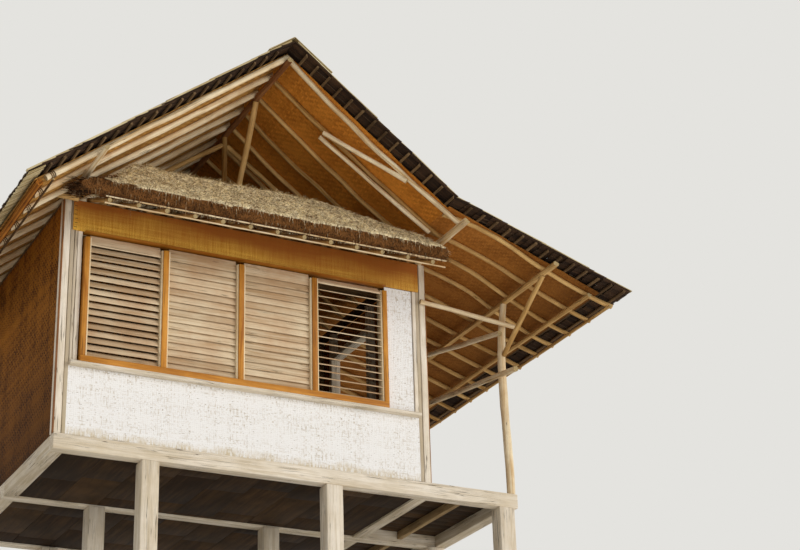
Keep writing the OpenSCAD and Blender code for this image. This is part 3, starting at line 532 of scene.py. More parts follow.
def woven(name, light, dark, gap, strip, period, relief=0.0012, spread=1.0, contrast=0.0, foot=None):
    """Bare woven bamboo; a foot is two heights and how dark it grows from the upper to the lower."""
    material, w, shader, weave, spot, place = start_weave(name, 0.8, 0.1, strip, period)
    weather = use_group(w, weather_group, {"Place": place, "Size": 1.2})
    share = w.sum("MULTIPLY", weave["Tone"], spread)
    share = w.sum("ADD", share, w.sum("MULTIPLY", weave["Over"], -contrast))
    blotch = w.between(weather["Blotch"], 0.0, 1.0, contrast / 2 - 0.25, contrast / 2 + 0.35)
    share = w.sum("ADD", share, blotch, clamp=True)
    colour = w.blend(share, paint(light), paint(dark))
    fibre = w.stretched(spot, (500, 60, 1), detail=3)
    shade = w.between(fibre, 0.3, 0.7, 0.86, 1.06)
    colour = w.shaded(colour, shade)
    if foot:
        low, high, darkest = foot
        # Painted shade: the colour goes towards the gap colour from the upper height to the lower.
        foot_shade = w.between(w.add("SeparateXYZ", {0: place}).outputs["Z"], low, high, darkest, 0.0)
        colour = w.blend(foot_shade, colour, paint(gap))
    colour = w.blend(weave["Gap"], colour, paint(gap))
    w.put(shader.inputs["Base Color"], colour)
    bump(w, shader, weave["Height"], relief)
    return material


panel_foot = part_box("front_panels")[0].z
# The walls grow darker towards the foot: painted shade.
wall_foot_shade = (panel_foot, panel_foot + 2.2, 0.75)
# The veranda mat grows darker towards its low edge: painted shade.
veranda_shade = (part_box("veranda_mat")[0].z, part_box("veranda_mat")[1].z, 0.62)
bare_weaves = {
    "brown_weave": ("#C07A26", "#4C260A", "#1A0A03", 0.018, 4.0, 0.003, 0.7, 0.5, wall_foot_shade),
    "roof_mat": ("#DC9038", "#A8641F", "#4A260C", 0.02, 4.0, 0.0015, 0.6, 0.2),
    # left_mat is a paler, yellower copy of roof_mat: painted light on the lit left slope.
    "left_mat": ("#CE9C54", "#94662C", "#4A2C12", 0.02, 4.0, 0.0015, 0.7, 0.25),
    "veranda_mat": ("#C8833A", "#985C22", "#3A220E", 0.02, 4.0, 0.0015, 0.6, 0.2, veranda_shade),
    "mat_roll": ("#BC7830", "#663412", "#2A1408", 0.014, 2.0, 0.004, 1.2, 0.1),
}
for name, look in bare_weaves.items():
    finish[name] = woven(name, *look)
print("bare weaves:", ", ".join(bare_weaves))

# %% [markdown]
# ## Limewashed panels
# The white panels are a plain weave washed over with lime. It wore off in short dashes along the
# strips, so two stretched noises, one upright and one level, show the bare strip through it. The
# foot has a thin ragged stain from rain that splashed up.

# %% Limewashed weave
def limewashed(name, wash, bare, fleck, stained, strip, foot, foot_reach):
    """White panels: limewash over a plain weave, rubbed through in flecks and stained at the foot."""
    material, w, shader, weave, spot, place = start_weave(name, 0.9, 0.1, strip, 2.0)
    worn = w.between(w.noise(place, 3.5, detail=3), 0.35, 0.7, 0.35, 1.0)
    upright = w.between(w.stretched(spot, (75, 16, 1), detail=2), 0.5, 0.66)
    level = w.between(w.stretched(spot, (14, 80, 1), detail=2), 0.54, 0.68)
    streak = w.sum("MAXIMUM", upright, level)
    streak = w.sum("MULTIPLY", streak, w.between(weave["Tone"], 0.2, 0.9))
    colour = w.blend(w.sum("MULTIPLY", streak, worn), paint(wash), paint(bare))
    dash = w.between(w.stretched(spot, (30, 110, 1), detail=1), 0.68, 0.74)
    colour = w.blend(w.sum("MULTIPLY", dash, 0.7), colour, paint(fleck))
    rubbed = w.between(w.noise(spot, 38.0, detail=4, roughness=0.7), 0.55, 0.75)
    colour = w.blend(w.sum("MULTIPLY", weave["Gap"], w.sum("ADD", 0.3, rubbed)), colour, paint(fleck))
    height = w.add("SeparateXYZ", {0: place}).outputs["Z"]
    ragged = w.between(w.stretched(place, (5, 5, 8), detail=3), 0.3, 0.7, 0.0, foot_reach)
    low = w.between(w.sum("SUBTRACT", height, ragged), foot - 0.02, foot + 0.05, 1.0, 0.0)
    patchy = w.between(w.stretched(spot, (70, 12, 1), detail=3), 0.35, 0.6, 0.1, 0.75)
    colour = w.blend(w.sum("MULTIPLY", low, patchy), colour, paint(stained))
    w.put(shader.inputs["Base Color"], colour)
    bump(w, shader, weave["Height"], 0.0014)
    return material


finish["white_weave"] = limewashed(
    "white_weave", "#F7F6F5", "#C4B7A4", "#7E6C54", "#C7B388", 0.018, panel_foot, 0.06
)
print("limewashed: white_weave")

# %% [markdown]
# ## Varnished band
# The band over the window was varnished and glows like honey. It is golden at its lower edge and
# darker brown under the thatch as painted shade, so its height in the house, with some cloud in
# it, sets the tone.

# %% Varnished weave
def varnished_band(name, bright, deep, under_thatch_shade, gap, strip):
    """The band over the window: varnished weave, golden below and darker under the thatch as painted shade.
    """
    material, w, shader, weave, spot, place = start_weave(name, 0.5, 0.25, strip, 2.0)
    low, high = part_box("front_upper_band")
    axes = w.add("SeparateXYZ", {0: place}).outputs
    height = w.between(axes["Z"], low.z, high.z)
    upright = w.between(w.stretched(spot, (60, 3.5, 1), detail=3, roughness=0.65), 0.32, 0.68)
    level = w.between(w.stretched(spot, (3, 50, 1), detail=2), 0.35, 0.65)
    share = w.sum("ADD", w.sum("MULTIPLY", upright, 0.6), w.sum("MULTIPLY", level, 0.25))
    share = w.sum("ADD", share, w.between(weave["Tone"], 0.0, 1.0, -0.15, 0.2), clamp=True)
    colour = w.blend(share, paint(bright), paint(deep))
    # Painted shade: darker towards the top under the thatch, with some cloud, and towards the right end.
    cloud = w.stretched(place, (1.6, 1.6, 5), detail=3)
    towards_end = w.between(axes["X"], low.x + 0.5, high.x, 0.0, 0.35)
    shade = w.sum("ADD", w.sum("ADD", height, w.sum("MULTIPLY", cloud, 0.9)), towards_end)
    colour = w.blend(w.between(shade, 0.55, 1.45, 0.0, 0.95), colour, paint(under_thatch_shade))
    colour = w.blend(w.sum("MULTIPLY", weave["Gap"], 0.6), colour, paint(gap))
    w.put(shader.inputs["Base Color"], colour)
    bump(w, shader, weave["Height"], 0.0008)
    return material


finish["orange_weave"] = varnished_band("orange_weave", "#FFD05A", "#CC8424", "#A85E24", "#5A3410", 0.012)
print("varnished: orange_weave")

# %% [markdown]
# ## Gathering parts
# A roof has thousands of strips. Each is made as a small mesh of its own, gets its grain, and is
# then poured into one pile, which becomes one piece. `Pile` also keeps the piece's own random
# numbers, seeded by its name, so that the house comes out the same each time.

# %% The pile that becomes a piece
def stick_layers(part):
    """The point layers that hold a stick's grain and its tone."""
    layers = part.verts.layers
    grain = layers.float_vector.get("grain") or layers.float_vector.new("grain")
    tone = layers.float.get("tone") or layers.float.new("tone")
    return grain, tone


class Pile:
    """Gathers small meshes into one piece of the house."""

    def __init__(self, name):
        self.name = name
        self.random = random.Random(name)
        self.bm = bmesh.new()
        stick_layers(self.bm)

    def add(self, part):
        mesh = bpy.data.meshes.new("part")
        part.to_mesh(mesh)
        part.free()
        self.bm.from_mesh(mesh)
        bpy.data.meshes.remove(mesh)

    def finish(self, slot, materials, replaced=(), crease=35):
        mesh = bpy.data.meshes.new(self.name)
        self.bm.to_mesh(mesh)
        self.bm.free()
        for name in materials:
            mesh.materials.append(finish[name])
        mesh.polygons.foreach_set("use_smooth", [True] * len(mesh.polygons))
        mesh.set_sharp_from_angle(angle=math.radians(crease))
        piece = bpy.data.objects.new(self.name, mesh)
        bpy.context.scene.collection.objects.link(piece)
        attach(piece, "root")
        if replaced:
            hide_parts(*replaced)
        print(self.name, len(mesh.polygons), "faces")
        return piece


# %% [markdown]
# ## Reading the frame's solids
# A node's mesh is loose triangles. A copy of it is welded and taken apart into its solids, and
# the block round each of them tells a carpenter where the stick lies and how thick it is.

# %% Take a node apart
def colour_faces(part, number):
    """Gives every face of a part one of the materials of its piece."""
    for face in part.faces:
        face.material_index = number


def solids(node):
    """Copies of the welded solids of a CAD node."""
    whole = bmesh.new()
    whole.from_mesh(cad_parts[node].data)
    bmesh.ops.remove_doubles(whole, verts=whole.verts[:], dist=1e-5)
    whole.verts.ensure_lookup_table()
    seen = set()
    found = []
    for first in whole.verts:
        if first.index in seen:
            continue
        seen.add(first.index)
        group = [first]
        for vert in group:
            for edge in vert.link_edges:
                other = edge.other_vert(vert)
                if other.index not in seen:
                    seen.add(other.index)
                    group.append(other)
        inside = set(v.index for v in group)
        part = whole.copy()
        outside = [v for v in part.verts if v.index not in inside]
        bmesh.ops.delete(part, geom=outside, context="VERTS")
        found.append(part)
    whole.free()
    return found


def block_of(part):
    """Lowest and highest corners of a part."""
    places = np.array([v.co for v in part.verts])
    return Vector(places.min(0)), Vector(places.max(0))


def blocks(node):
    """Lowest and highest corners of each solid of a CAD node."""
    found = []
    for part in solids(node):
        found.append(block_of(part))
        part.free()
    return found


def merge_flats(part):
    """Joins the triangles of each flat face."""
    flat_angle = math.radians(1)
    bmesh.ops.dissolve_limit(part, angle_limit=flat_angle, verts=part.verts[:], edges=part.edges[:])


stilt_count = len(blocks("stilts"))
print("the frame stands on", stilt_count, "stilts")

# %% [markdown]
# ## A pole's rings
# A pole's solid is drawn through a few rings of points. The direction in which they spread most
# is its axis, and along it they fall into groups with gaps between them: those are the rings.
# Each gives a centre and a radius, a touch less than that of its corners.

# %% Read a pole's rings
ring_spread = 0.08
round_share = 0.97


def spine_of(part):
    """Centres and radii of a pole's rings, from one end to the other."""
    places = np.array([v.co for v in part.verts])
    middle = places.mean(0)
    axis = np.linalg.svd(places - middle)[2][0]
    axis = axis * (1 if axis[np.abs(axis).argmax()] > 0 else -1)
    along = (places - middle) @ axis
    order = np.argsort(along)
    starts = np.flatnonzero(np.diff(along[order]) > ring_spread) + 1
    centres = []
    radii = []
    for ring in np.split(places[order], starts):
        off = ring - ring.mean(0)
        square = off - np.outer(off @ axis, axis)
        centres.append(Vector(ring.mean(0)))
        radii.append(float(np.linalg.norm(square, axis=1).mean()) * round_share)
    return centres, radii


first_post = solids("veranda_posts")[0]
print("radii of a veranda post:", [round(radius, 3) for radius in spine_of(first_post)[1]])
first_post.free()

# %% [markdown]
# ## Sawn timber
# A sawn beam is a block whose edges are slightly rounded and which dried a little crooked. The
# solid of the frame gives the block. Its edges are bevelled, it is sliced along its length so
# that it can bend, and noise bends it by a few millimetres.

# %% Make a timber from a block
def block(low, high):
    """A plain block between two corners."""
    part = bmesh.new()
    turn = Matrix.Diagonal((*(high - low), 1))
    bmesh.ops.create_cube(part, size=1, matrix=Matrix.Translation((low + high) / 2) @ turn)
    return part


def lay_grain(part, way, rng, tone=None):
    """Writes the grain and tone of a stick whose length runs along one axis: 0, 1 or 2."""
    grain, shade = stick_layers(part)
    low, high = block_of(part)
    middle = (low + high) / 2
    start = rng.uniform(0, 60)
    tone = rng.random() if tone is None else tone
    for v in part.verts:
        off = v.co - middle
        v[grain] = (off[(way + 1) % 3], off[(way + 2) % 3], off[way] + start)
        v[shade] = tone


def slice_along(part, way, step):
    """Cuts a part into slices of equal length along one axis, so that it can bend."""
    low, high = block_of(part)
    count = int((high[way] - low[way]) / step)
    normal = [0, 0, 0]
    normal[way] = 1
    for i in range(1, count):
        place = (low + high) / 2
        place[way] = low[way] + (high[way] - low[way]) * i / count
        everything = part.verts[:] + part.edges[:] + part.faces[:]
        bmesh.ops.bisect_plane(part, geom=everything, dist=1e-5, plane_co=place, plane_no=normal)


def warp(part, way, rng, bend, ripple=0.0):
    """Bends a stick sideways by a smooth noise along its length, and ripples its faces."""
    seeds = [rng.uniform(0, 90) for _ in range(3)]
    low, high = block_of(part)
    length = high[way] - low[way]
    for v in part.verts:
        along = v.co[way]
        share = (along - low[way]) / length
        hold = math.sin(math.pi * min(max(share, 0.0), 1.0)) ** 0.5
        for side in range(3):
            if side != way:
                push = noise.noise((along * 1.3, seeds[side], 0.5)) * bend * 2 * hold
                near = noise.noise(v.co * 14 + Vector((seeds[side], 0, 0))) * ripple
                v.co[side] += push + near


def timber(part, way, rng, bevel=0.004, bend=0.002, ripple=0.0006, step=0.25, tone=None):
    """Rounds, slices and bends a block, and writes its grain."""
    merge_flats(part)
    if bevel:
        bmesh.ops.bevel(
            part, geom=part.edges[:], offset=bevel, affect="EDGES", segments=2, profile=0.5, material=-1
        )
    slice_along(part, way, step)
    lay_grain(part, way, rng, tone)
    warp(part, way, rng, bend, ripple)
    return part


def longest(part):
    """The axis along which a part is longest."""
    low, high = block_of(part)
    size = high - low
    return max(range(3), key=lambda i: size[i])


print("timbers are bent and rounded by a few millimetres")

# %% [markdown]
# ## Stilts, beams, studs and frames
# These are all plain sawn timbers, and only their wood and how much they weathered differ. The
# stilts and the beams outside are the most worn at their edges.

# %% Saw the timbers
def saw_timbers(node, slot, materials, bevel=0.004, bend=0.002, ripple=0.0006, tones=(0.2, 0.8), step=0.25):
    """A piece of dressed timbers in place of a CAD node of blocks."""
    pile = Pile(node + "_sawn")
    for part in solids(node):
        tone = pile.random.uniform(*tones)
        pile.add(timber(part, longest(part), pile.random, bevel, bend, ripple, step, tone))
    return pile.finish(slot, materials, [node])


saw_timbers("stilts", "bleached_timber", ["bleached_timber"], bevel=0.006, tones=(0.1, 0.4))
saw_timbers("main_beams", "bleached_timber", ["bleached_timber"], bevel=0.005, tones=(0.2, 0.45))
saw_timbers("side_sills", "bleached_timber", ["bleached_timber"], bevel=0.005)
saw_timbers("floor_joists", "hidden_timber", ["hidden_timber"])
saw_timbers("wall_studs", "hidden_timber", ["hidden_timber"])
saw_timbers("top_rails", "hidden_timber", ["hidden_timber"])
saw_timbers("tie_beams", "hidden_timber", ["hidden_timber"])
saw_timbers("door_frame", "bleached_timber", ["bleached_timber"], tones=(0.2, 0.5))
saw_timbers("window_ledge", "bleached_timber", ["bleached_timber"], bend=0.003, tones=(0.3, 0.5))

# %% [markdown]
# ## Boards beside the posts
# A bleached board stands between each front post and what comes next to it. It is cut a few
# millimetres short on both sides, so that dark joints show. On the left the window stands 33 mm
# further in than in the frame, and the room so won goes to a second, thin board.

# %% Saw the boards beside the posts
trim_cuts = (0.005, 0.009)
thin_trim_w = 0.022
left_shift = 0.033


def trim_boards():
    pile = Pile("front_trims_sawn")
    for low, high in blocks("front_trims"):
        left = local(low).x < ridge_x
        low.x += trim_cuts[0] if left else trim_cuts[1]
        high.x -= trim_cuts[1] - left_shift if left else trim_cuts[0]
        if left:
            seam = low.x + thin_trim_w
            thin = block(low, Vector((seam, high.y, high.z)))
            pile.add(timber(thin, 2, pile.random, 0.002, 0.002, 0.0006, 0.25, 0.7))
            low.x = seam + trim_cuts[0]
        pile.add(timber(block(low, high), 2, pile.random, 0.003, 0.002, 0.0006, 0.25, -0.2))
    pile.finish("bleached_timber", ["bleached_timber"], ["front_trims"])


trim_boards()

# %% [markdown]
# ## Corner posts
# On the front posts a narrow cover board closes the joint towards the window, a dark groove away
# from the post, and two laths, one red-brown and one pale, hold the edge of the side wall. Each is
# a block of its own, because what shows is the line of shadow between them.

# %% Corner posts and their laths
cover_w = 0.033
groove_w = 0.007
cover_back = 0.007
lath_t = 0.007
lath_gap = 0.0005
lath_places = ((0.003, 0.046, 1), (0.05, 0.094, 0))


def build_corner_posts():
    posts = Pile("corner_posts_sawn")
    laths = Pile("corner_laths")
    for low, high in blocks("corner_posts"):
        left = local(low).x < ridge_x
        inward = 1 if local(low).y < room_d / 2 else -1
        if inward > 0:
            near, far = low.copy(), high.copy()
            near.y += cover_back
            if left:
                near.x = high.x - cover_w
                high.x = near.x - groove_w
            else:
                far.x = low.x + cover_w
                low.x = far.x + groove_w
            posts.add(timber(block(near, far), 2, posts.random, 0.002, 0.002, 0.0006, 0.2, 1.1))
        posts.add(timber(block(low, high), 2, posts.random, 0.004, 0.003, 0.0006, 0.25, 0.15))
        wall = low.x if left else high.x
        outward = -1 if left else 1
        front = low.y if inward > 0 else high.y
        for start, end, wood_number in lath_places:
            sides = sorted((front + inward * start, front + inward * end))
            faces = sorted((wall + outward * lath_t, wall + outward * lath_gap))
            lath = block(Vector((faces[0], sides[0], low.z)), Vector((faces[1], sides[1], high.z)))
            colour_faces(lath, wood_number)
            laths.add(timber(lath, 2, laths.random, 0.0015, 0.0, 0.0006, 0.25, 0.2))
    posts.finish("bleached_timber", ["bleached_timber"], ["corner_posts"])
    laths.finish("bleached_timber", ["bleached_timber", "red_pole"])


build_corner_posts()

# %% [markdown]
# ## Poles
# Rafters, struts and braces are young trunks with the bark off: nearly round, never straight,
# with low knots. A pole starts as a cylinder along Z, because there its grain is simply its own
# coordinates. Its rings are then swayed and swollen by noise and moved onto a smooth curve through
# the rings of the frame's solid. Its ends are cut plumb where they meet another pole.

# %% Make a crooked pole
ring_gap = 0.11


def pole(path, radii, rng, sway=0.012, side=None, sides=10, cuts=(None, None), tone=None):
    """A crooked pole along a path; it sways most towards one side, and an end may be cut plumb."""
    start = path[0]
    length = (path[-1] - start).length
    way = (path[-1] - start).normalized()
    side = way.orthogonal() if side is None else side - way * side.dot(way)
    side.normalize()
    turn = Matrix((side, way.cross(side), way)).transposed()
    marks = [turn.inverted() @ (place - start) for place in path]
    shares = [mark.z / length for mark in marks]
    curves = [np.polyfit(shares, [mark[i] for mark in marks], len(path) - 1) for i in (0, 1)]
    part = bmesh.new()
    half = Matrix.Translation((0, 0, length / 2))
    bmesh.ops.create_cone(
        part, cap_ends=True, segments=sides, radius1=1, radius2=1, depth=length, matrix=half
    )
    for face in part.faces:
        face.material_index = 1 if len(face.verts) > 4 else 0
    long_edges = [e for e in part.edges if abs(e.verts[0].co.z - e.verts[1].co.z) > length / 2]
    bmesh.ops.subdivide_edges(part, edges=long_edges, cuts=max(2, int(length / ring_gap)))
    for v in part.verts:
        radius = float(np.interp(v.co.z / length, shares, radii))
        v.co.x *= radius
        v.co.y *= radius
    lay_grain(part, 2, rng, tone)
    seeds = [rng.uniform(0, 90) for _ in range(4)]
    for v in part.verts:
        share = v.co.z / length
        hold = math.sin(math.pi * share)
        swell = 1 + 0.09 * noise.noise((v.co.z * 2.3, seeds[0], 0))
        swell += 0.10 * noise.noise((v.co.x * 20, v.co.y * 20, v.co.z * 7 + seeds[1]))
        round_place = Vector((v.co.x * swell, v.co.y * swell, 0))
        for cut, place in zip(cuts, (0, 1)):
            if cut is not None and abs(share - place) < 1e-4:
                flat = turn.inverted() @ cut
                round_place.z = -round_place.dot(flat) / flat.z
        bow = noise.noise((v.co.z * 1.1, seeds[2], 0)) + 0.5 * noise.noise((v.co.z * 3.1, seeds[2], 4))
        bow *= hold
        dip = hold * noise.noise((v.co.z * 1.7, seeds[3], 2)) * 0.25
        bent = Vector((float(np.polyval(curves[0], share)), float(np.polyval(curves[1], share)), 0))
        v.co = turn @ (round_place + bent + Vector((bow * sway * 2, dip * sway * 2, v.co.z))) + start
    return part


print("a pole has a ring every", ring_gap, "m")

# %% [markdown]
# ## Rafters, struts and braces
# Every round pole that isn't hewn is redrawn along the rings of its solid. The poles under the
# right roof are thinner than their solids and stay tight under the mat, apart from the front
# rafter, which is thick and pale. One awning pole lies across the others, and is only a stub.

# %% Redraw a node's poles
stub_share = 0.66
stub_lift = Vector((0, 0, 0.022))
across_least = 0.1
front_thin = 0.9
front_tone = 0.4


def slope_normal(pitch):
    """The way out of a slope that falls to the right."""
    return Vector((math.sin(pitch), 0, math.cos(pitch)))


def cut_stub(path, radii):
    """Cuts the awning pole that lies across to a stub, and lifts it."""
    if abs(path[-1].x - path[0].x) <= across_least:
        return path, radii
    ends = (path[0], path[0].lerp(path[-1], stub_share))
    return [place + stub_lift for place in ends], radii[:2]


def pole_rows(
    node,
    sway,
    side=None,
    cuts=(None, None),
    sides=10,
    tones=(0.0, 0.6),
    thin=1.0,
    under=None,
    skin="pole_wood",
    pale_till=-1.0,
    recut=None,
):
    """Crooked poles along a node's solids; thinned ones stay tight under what they carry.

    The ones within pale_till of the front are thicker and pale.
    """
    pile = Pile(node + "_debarked")
    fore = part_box(node)[0].y + pale_till
    for solid in solids(node):
        path, radii = spine_of(solid)
        solid.free()
        if recut:
            path, radii = recut(path, radii)
        tone = pile.random.uniform(*tones)
        pale = path[0].y < fore
        share = front_thin if pale else thin
        if under is not None:
            path = [place + under * radii[0] * (1 - share) for place in path]
        radii = [radius * share * pile.random.uniform(0.94, 1.0) for radius in radii]
        made = pole(path, radii, pile.random, sway, side, sides, cuts, front_tone if pale else tone)
        for face in made.faces:
            if pale and face.material_index == 0:
                face.material_index = 2
        pile.add(made)
    return pile.finish("pole_wood", [skin, "cut_end", "pole_wood"], [node], crease=50)


print("the right slope faces", [round(c, 3) for c in slope_normal(main_pitch)])

# %% [markdown]
# ## Where each pole goes
# Rafters sway along the house and stay level under the mat, and the main ones are cut plumb where
# they meet at the ridge. Most poles under the roof are golden, a darker wood that is partly painted
# shade; those in the weather and the rafters of the left slope are pale.

# %% Debark the poles
level_side = Vector((0, 1, 0))
plumb = Vector((1, 0, 0))

pole_rows("left_rafters", 0.02, level_side, (None, plumb), tones=(0.0, 0.35))
pole_rows(
    "right_rafters",
    0.024,
    level_side,
    (plumb, None),
    thin=0.8,
    under=slope_normal(main_pitch),
    skin="golden_pole",
    pale_till=0.3,
)
pole_rows(
    "veranda_rafters", 0.018, level_side, thin=0.78, under=slope_normal(veranda_pitch), skin="golden_pole"
)
pole_rows("king_posts", 0.006, skin="golden_pole", tones=(0.5, 0.8))
pole_rows("ridge_struts", 0.01, skin="golden_pole")
pole_rows("lashed_poles", 0.012, tones=(0.0, 0.2))
pole_rows("veranda_posts", 0.006, sides=14, tones=(0.0, 0.2))
pole_rows("veranda_rails", 0.01, tones=(0.0, 0.4))
pole_rows("veranda_braces", 0.008, skin="golden_pole")
pole_rows("awning_poles", 0.004, tones=(0.1, 0.5), skin="golden_pole", recut=cut_stub)
pole_rows("awning_sticks", 0.004, sides=7)

# %% [markdown]
# ## Poles that carry
# Wall plates, ridge pole and purlins have flats hewn on them where other poles bear. Their solids
# hold those flats, so they are kept and only sliced, swayed a little and given their grain. What
# lies over the room takes a darker wood as painted shade from the eaves, and the front ends of the
# wall plates taper.

# %% Hewn poles
hewn_step = 0.14


def over_room(place):
    """Whether a place is over the room, and not over the verges."""
    return corner.y < place.y < corner.y + room_d


def hewn_poles(node, shape=None, skin="pole_wood", shade_skin="shaded_pole"):
    """Poles that keep the flats of their solids; `shape` may change a pole before it is bent."""
    pile = Pile(node + "_hewn")
    for part in solids(node):
        merge_flats(part)
        for face in part.faces:
            face.material_index = 1 if len(face.verts) > 4 else 0
        slice_along(part, longest(part), hewn_step)
        # Faces over the room take the shade skin: painted shade from the eaves.
        for face in part.faces:
            if face.material_index == 0 and over_room(face.calc_center_median()):
                face.material_index = 2
        lay_grain(part, longest(part), pile.random, pile.random.uniform(0.1, 0.6))
        if shape:
            shape(part)
        warp(part, longest(part), pile.random, 0.003, 0.002)
        pile.add(part)
    return pile.finish("pole_wood", [skin, "cut_end", shade_skin], [node], crease=40)


plate_r = 0.045
plate_seat = 0.034
front_taper = {"left": 0.42, "right": 0.32}


def thin_front(part):
    """Tapers the front overhang of a wall plate towards its seat, which stays where it is."""
    low, high = block_of(part)
    way = math.copysign(1, local(low).x - ridge_x)
    axis_x = low.x + plate_r if way > 0 else high.x - plate_r
    out = Vector((way * math.sin(main_pitch), 0, math.cos(main_pitch)))
    seat = Vector((axis_x, 0, low.z + plate_r)) + out * (plate_r - plate_seat)
    amount = front_taper["right" if way > 0 else "left"]
    overhang = corner.y - low.y
    for v in part.verts:
        past = max(0.0, corner.y - v.co.y) / overhang
        keep = 1 - amount * past ** 0.7
        v.co.x = seat.x + (v.co.x - seat.x) * keep
        v.co.z = seat.z + (v.co.z - seat.z) * keep


hewn_poles("wall_plates", shape=thin_front)
hewn_poles("ridge_pole", skin="red_pole", shade_skin="red_pole")
hewn_poles("veranda_purlins", skin="golden_pole", shade_skin="golden_pole")

# %% [markdown]
# ## Window frame
# The frame is clear-varnished, with pale unvarnished stops beside each light. A mullion's solid
# is a tongue between two stops, so its block is cut back into those three sticks here. The left
# stile stands further in, beside its thin board, and the head rail is slimmer than its solid. The
# head rail's darker, redder tone is painted shade under the band.

# %% Window frame
stop_w = 0.015
stop_back = 0.015
head_trim = 0.055
# A darker tone on the head rail paints the shade under the band.
head_shade_tone = 0.9
sill_tone = 0.3


def window_uprights():
    orange = Pile("window_uprights")
    pale = Pile("window_stops")
    uprights = sorted(blocks("window_stiles"), key=lambda ends: ends[0].x)
    last = len(uprights) - 1
    for i, (low, high) in enumerate(uprights):
        if i == 0:
            low.x += left_shift
            high.x += left_shift
        left = low.x + (stop_w if i > 0 else 0)
        right = high.x - (stop_w if i < last else 0)
        face = block(Vector((left, low.y, low.z)), Vector((right, high.y, high.z)))
        orange.add(timber(face, 2, orange.random, 0.003, 0.0, 0.0003, 0.3))
        for edge, shown in ((low.x, i > 0), (right, i < last)):
            if shown:
                near = Vector((edge, low.y + stop_back, low.z))
                strip = block(near, Vector((edge + stop_w, high.y, high.z)))
                pale.add(timber(strip, 2, pale.random, 0.002, 0.0, 0.0003, 0.3, 0.2))
    orange.finish("varnished_frame", ["varnished_frame"], ["window_stiles"])
    pale.finish("varnished_frame", ["frame_edge"])


def window_rails():
    pile = Pile("window_rails_sawn")
    middle = (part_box("window_rails")[0].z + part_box("window_rails")[1].z) / 2
    for low, high in blocks("window_rails"):
        head = low.z > middle
        low.z += head_trim if head else 0
        low.x += left_shift
        tone = head_shade_tone if head else sill_tone
        pile.add(timber(block(low, high), 0, pile.random, 0.003, 0.0, 0.0003, tone=tone))
    pile.finish("varnished_frame", ["varnished_frame"], ["window_rails"])


window_uprights()
window_rails()

# %% [markdown]
# ## Louvres
# Each light has its own angle of slats, which the frame already has, and each slat its own tone.
# The top slat of a light is deeper and closes the space under the slimmer head rail. In the first
# light the slats end at the stile that was moved in.

# %% Louvre slats
top_slat_share = 0.8
lights = 4


def louvre_slats(node):
    """The slats of one light."""
    pile = Pile(node + "_sawn")
    parts = solids(node)
    top = max(parts, key=lambda part: block_of(part)[1].z)
    for part in parts:
        low, high = block_of(part)
        if part is top:
            for v in part.verts:
                share = (v.co.z - low.z) / (high.z - low.z)
                v.co.z += head_trim * top_slat_share * share
        if node == "louvre_panel_1":
            for v in part.verts:
                v.co.x += left_shift * (high.x - v.co.x) / (high.x - low.x)
        tone = pile.random.uniform(0.0, 0.75)
        pile.add(timber(part, 0, pile.random, 0.0025, 0.0015, 0.0006, 0.12, tone))
    pile.finish("slat_wood", ["slat_wood"], [node])


for light in range(1, lights + 1):
    louvre_slats(f"louvre_panel_{light}")

# %% [markdown]
# ## Woven panels
# A panel is a thin sheet whose weave needs flat coordinates: across and up. They go into the
# same `grain` attribute, so a wall is dressed as a timber is, with another way of laying.

# %% Wall panels
def lay_flat(part, across, rng):
    """Writes the places of a standing sheet: across, along one axis, and up."""
    grain, shade = stick_layers(part)
    tone = rng.random()
    for v in part.verts:
        v[grain] = (v.co[across] + 9, v.co.z + 9, 0)
        v[shade] = tone


def weave_panels(node, across, slot):
    """A node's sheets, their strips counted along one axis and up."""
    pile = Pile(node + "_woven")
    for part in solids(node):
        merge_flats(part)
        lay_flat(part, across, pile.random)
        pile.add(part)
    return pile.finish(slot, [slot], [node])


weave_panels("front_panels", 0, "white_weave")
weave_panels("front_upper_band", 0, "orange_weave")

# %% [markdown]
# ## Stitches
# Short dark stitches of cane hold the left edge of the band to the post. They lie on the band, one
# over another and not quite in line.

# %% Stitch the band
stitch_size = Vector((0.026, 0.003, 0.004))
stitches = 7


def stitch_band():
    pile = Pile("band_stitches")
    low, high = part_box("front_upper_band")
    for i in range(stitches):
        z = low.z + (high.z - low.z) * (i + 0.6) / stitches
        near = Vector((low.x + 0.004 + pile.random.uniform(0, 0.01), low.y - 0.0015, z))
        pile.add(timber(block(near, near + stitch_size), 0, pile.random, 0.001, 0.0, 0.0003, 0.02, 1.0))
    pile.finish("pole_wood", ["cane_winding"])


stitch_band()

# %% [markdown]
# ## The other walls
# The two side walls and the back are sheets of the same kind, but bare and brown. A side wall
# counts its strips along the house and the back wall counts them across it.

# %% Side walls and back wall
for node, across in (("left_wall", 1), ("right_wall", 1), ("back_wall", 0)):
    weave_panels(node, across, "brown_weave")

# %% [markdown]
# ## Floor
# The solids of the floor are whole bays. Real floors are boards, so each bay is filled with them:
# narrow boards on top, and wide lining boards underneath, which is what the photograph shows.

# %% Boards in the bays
board_gap = 0.002
least_board = 0.03


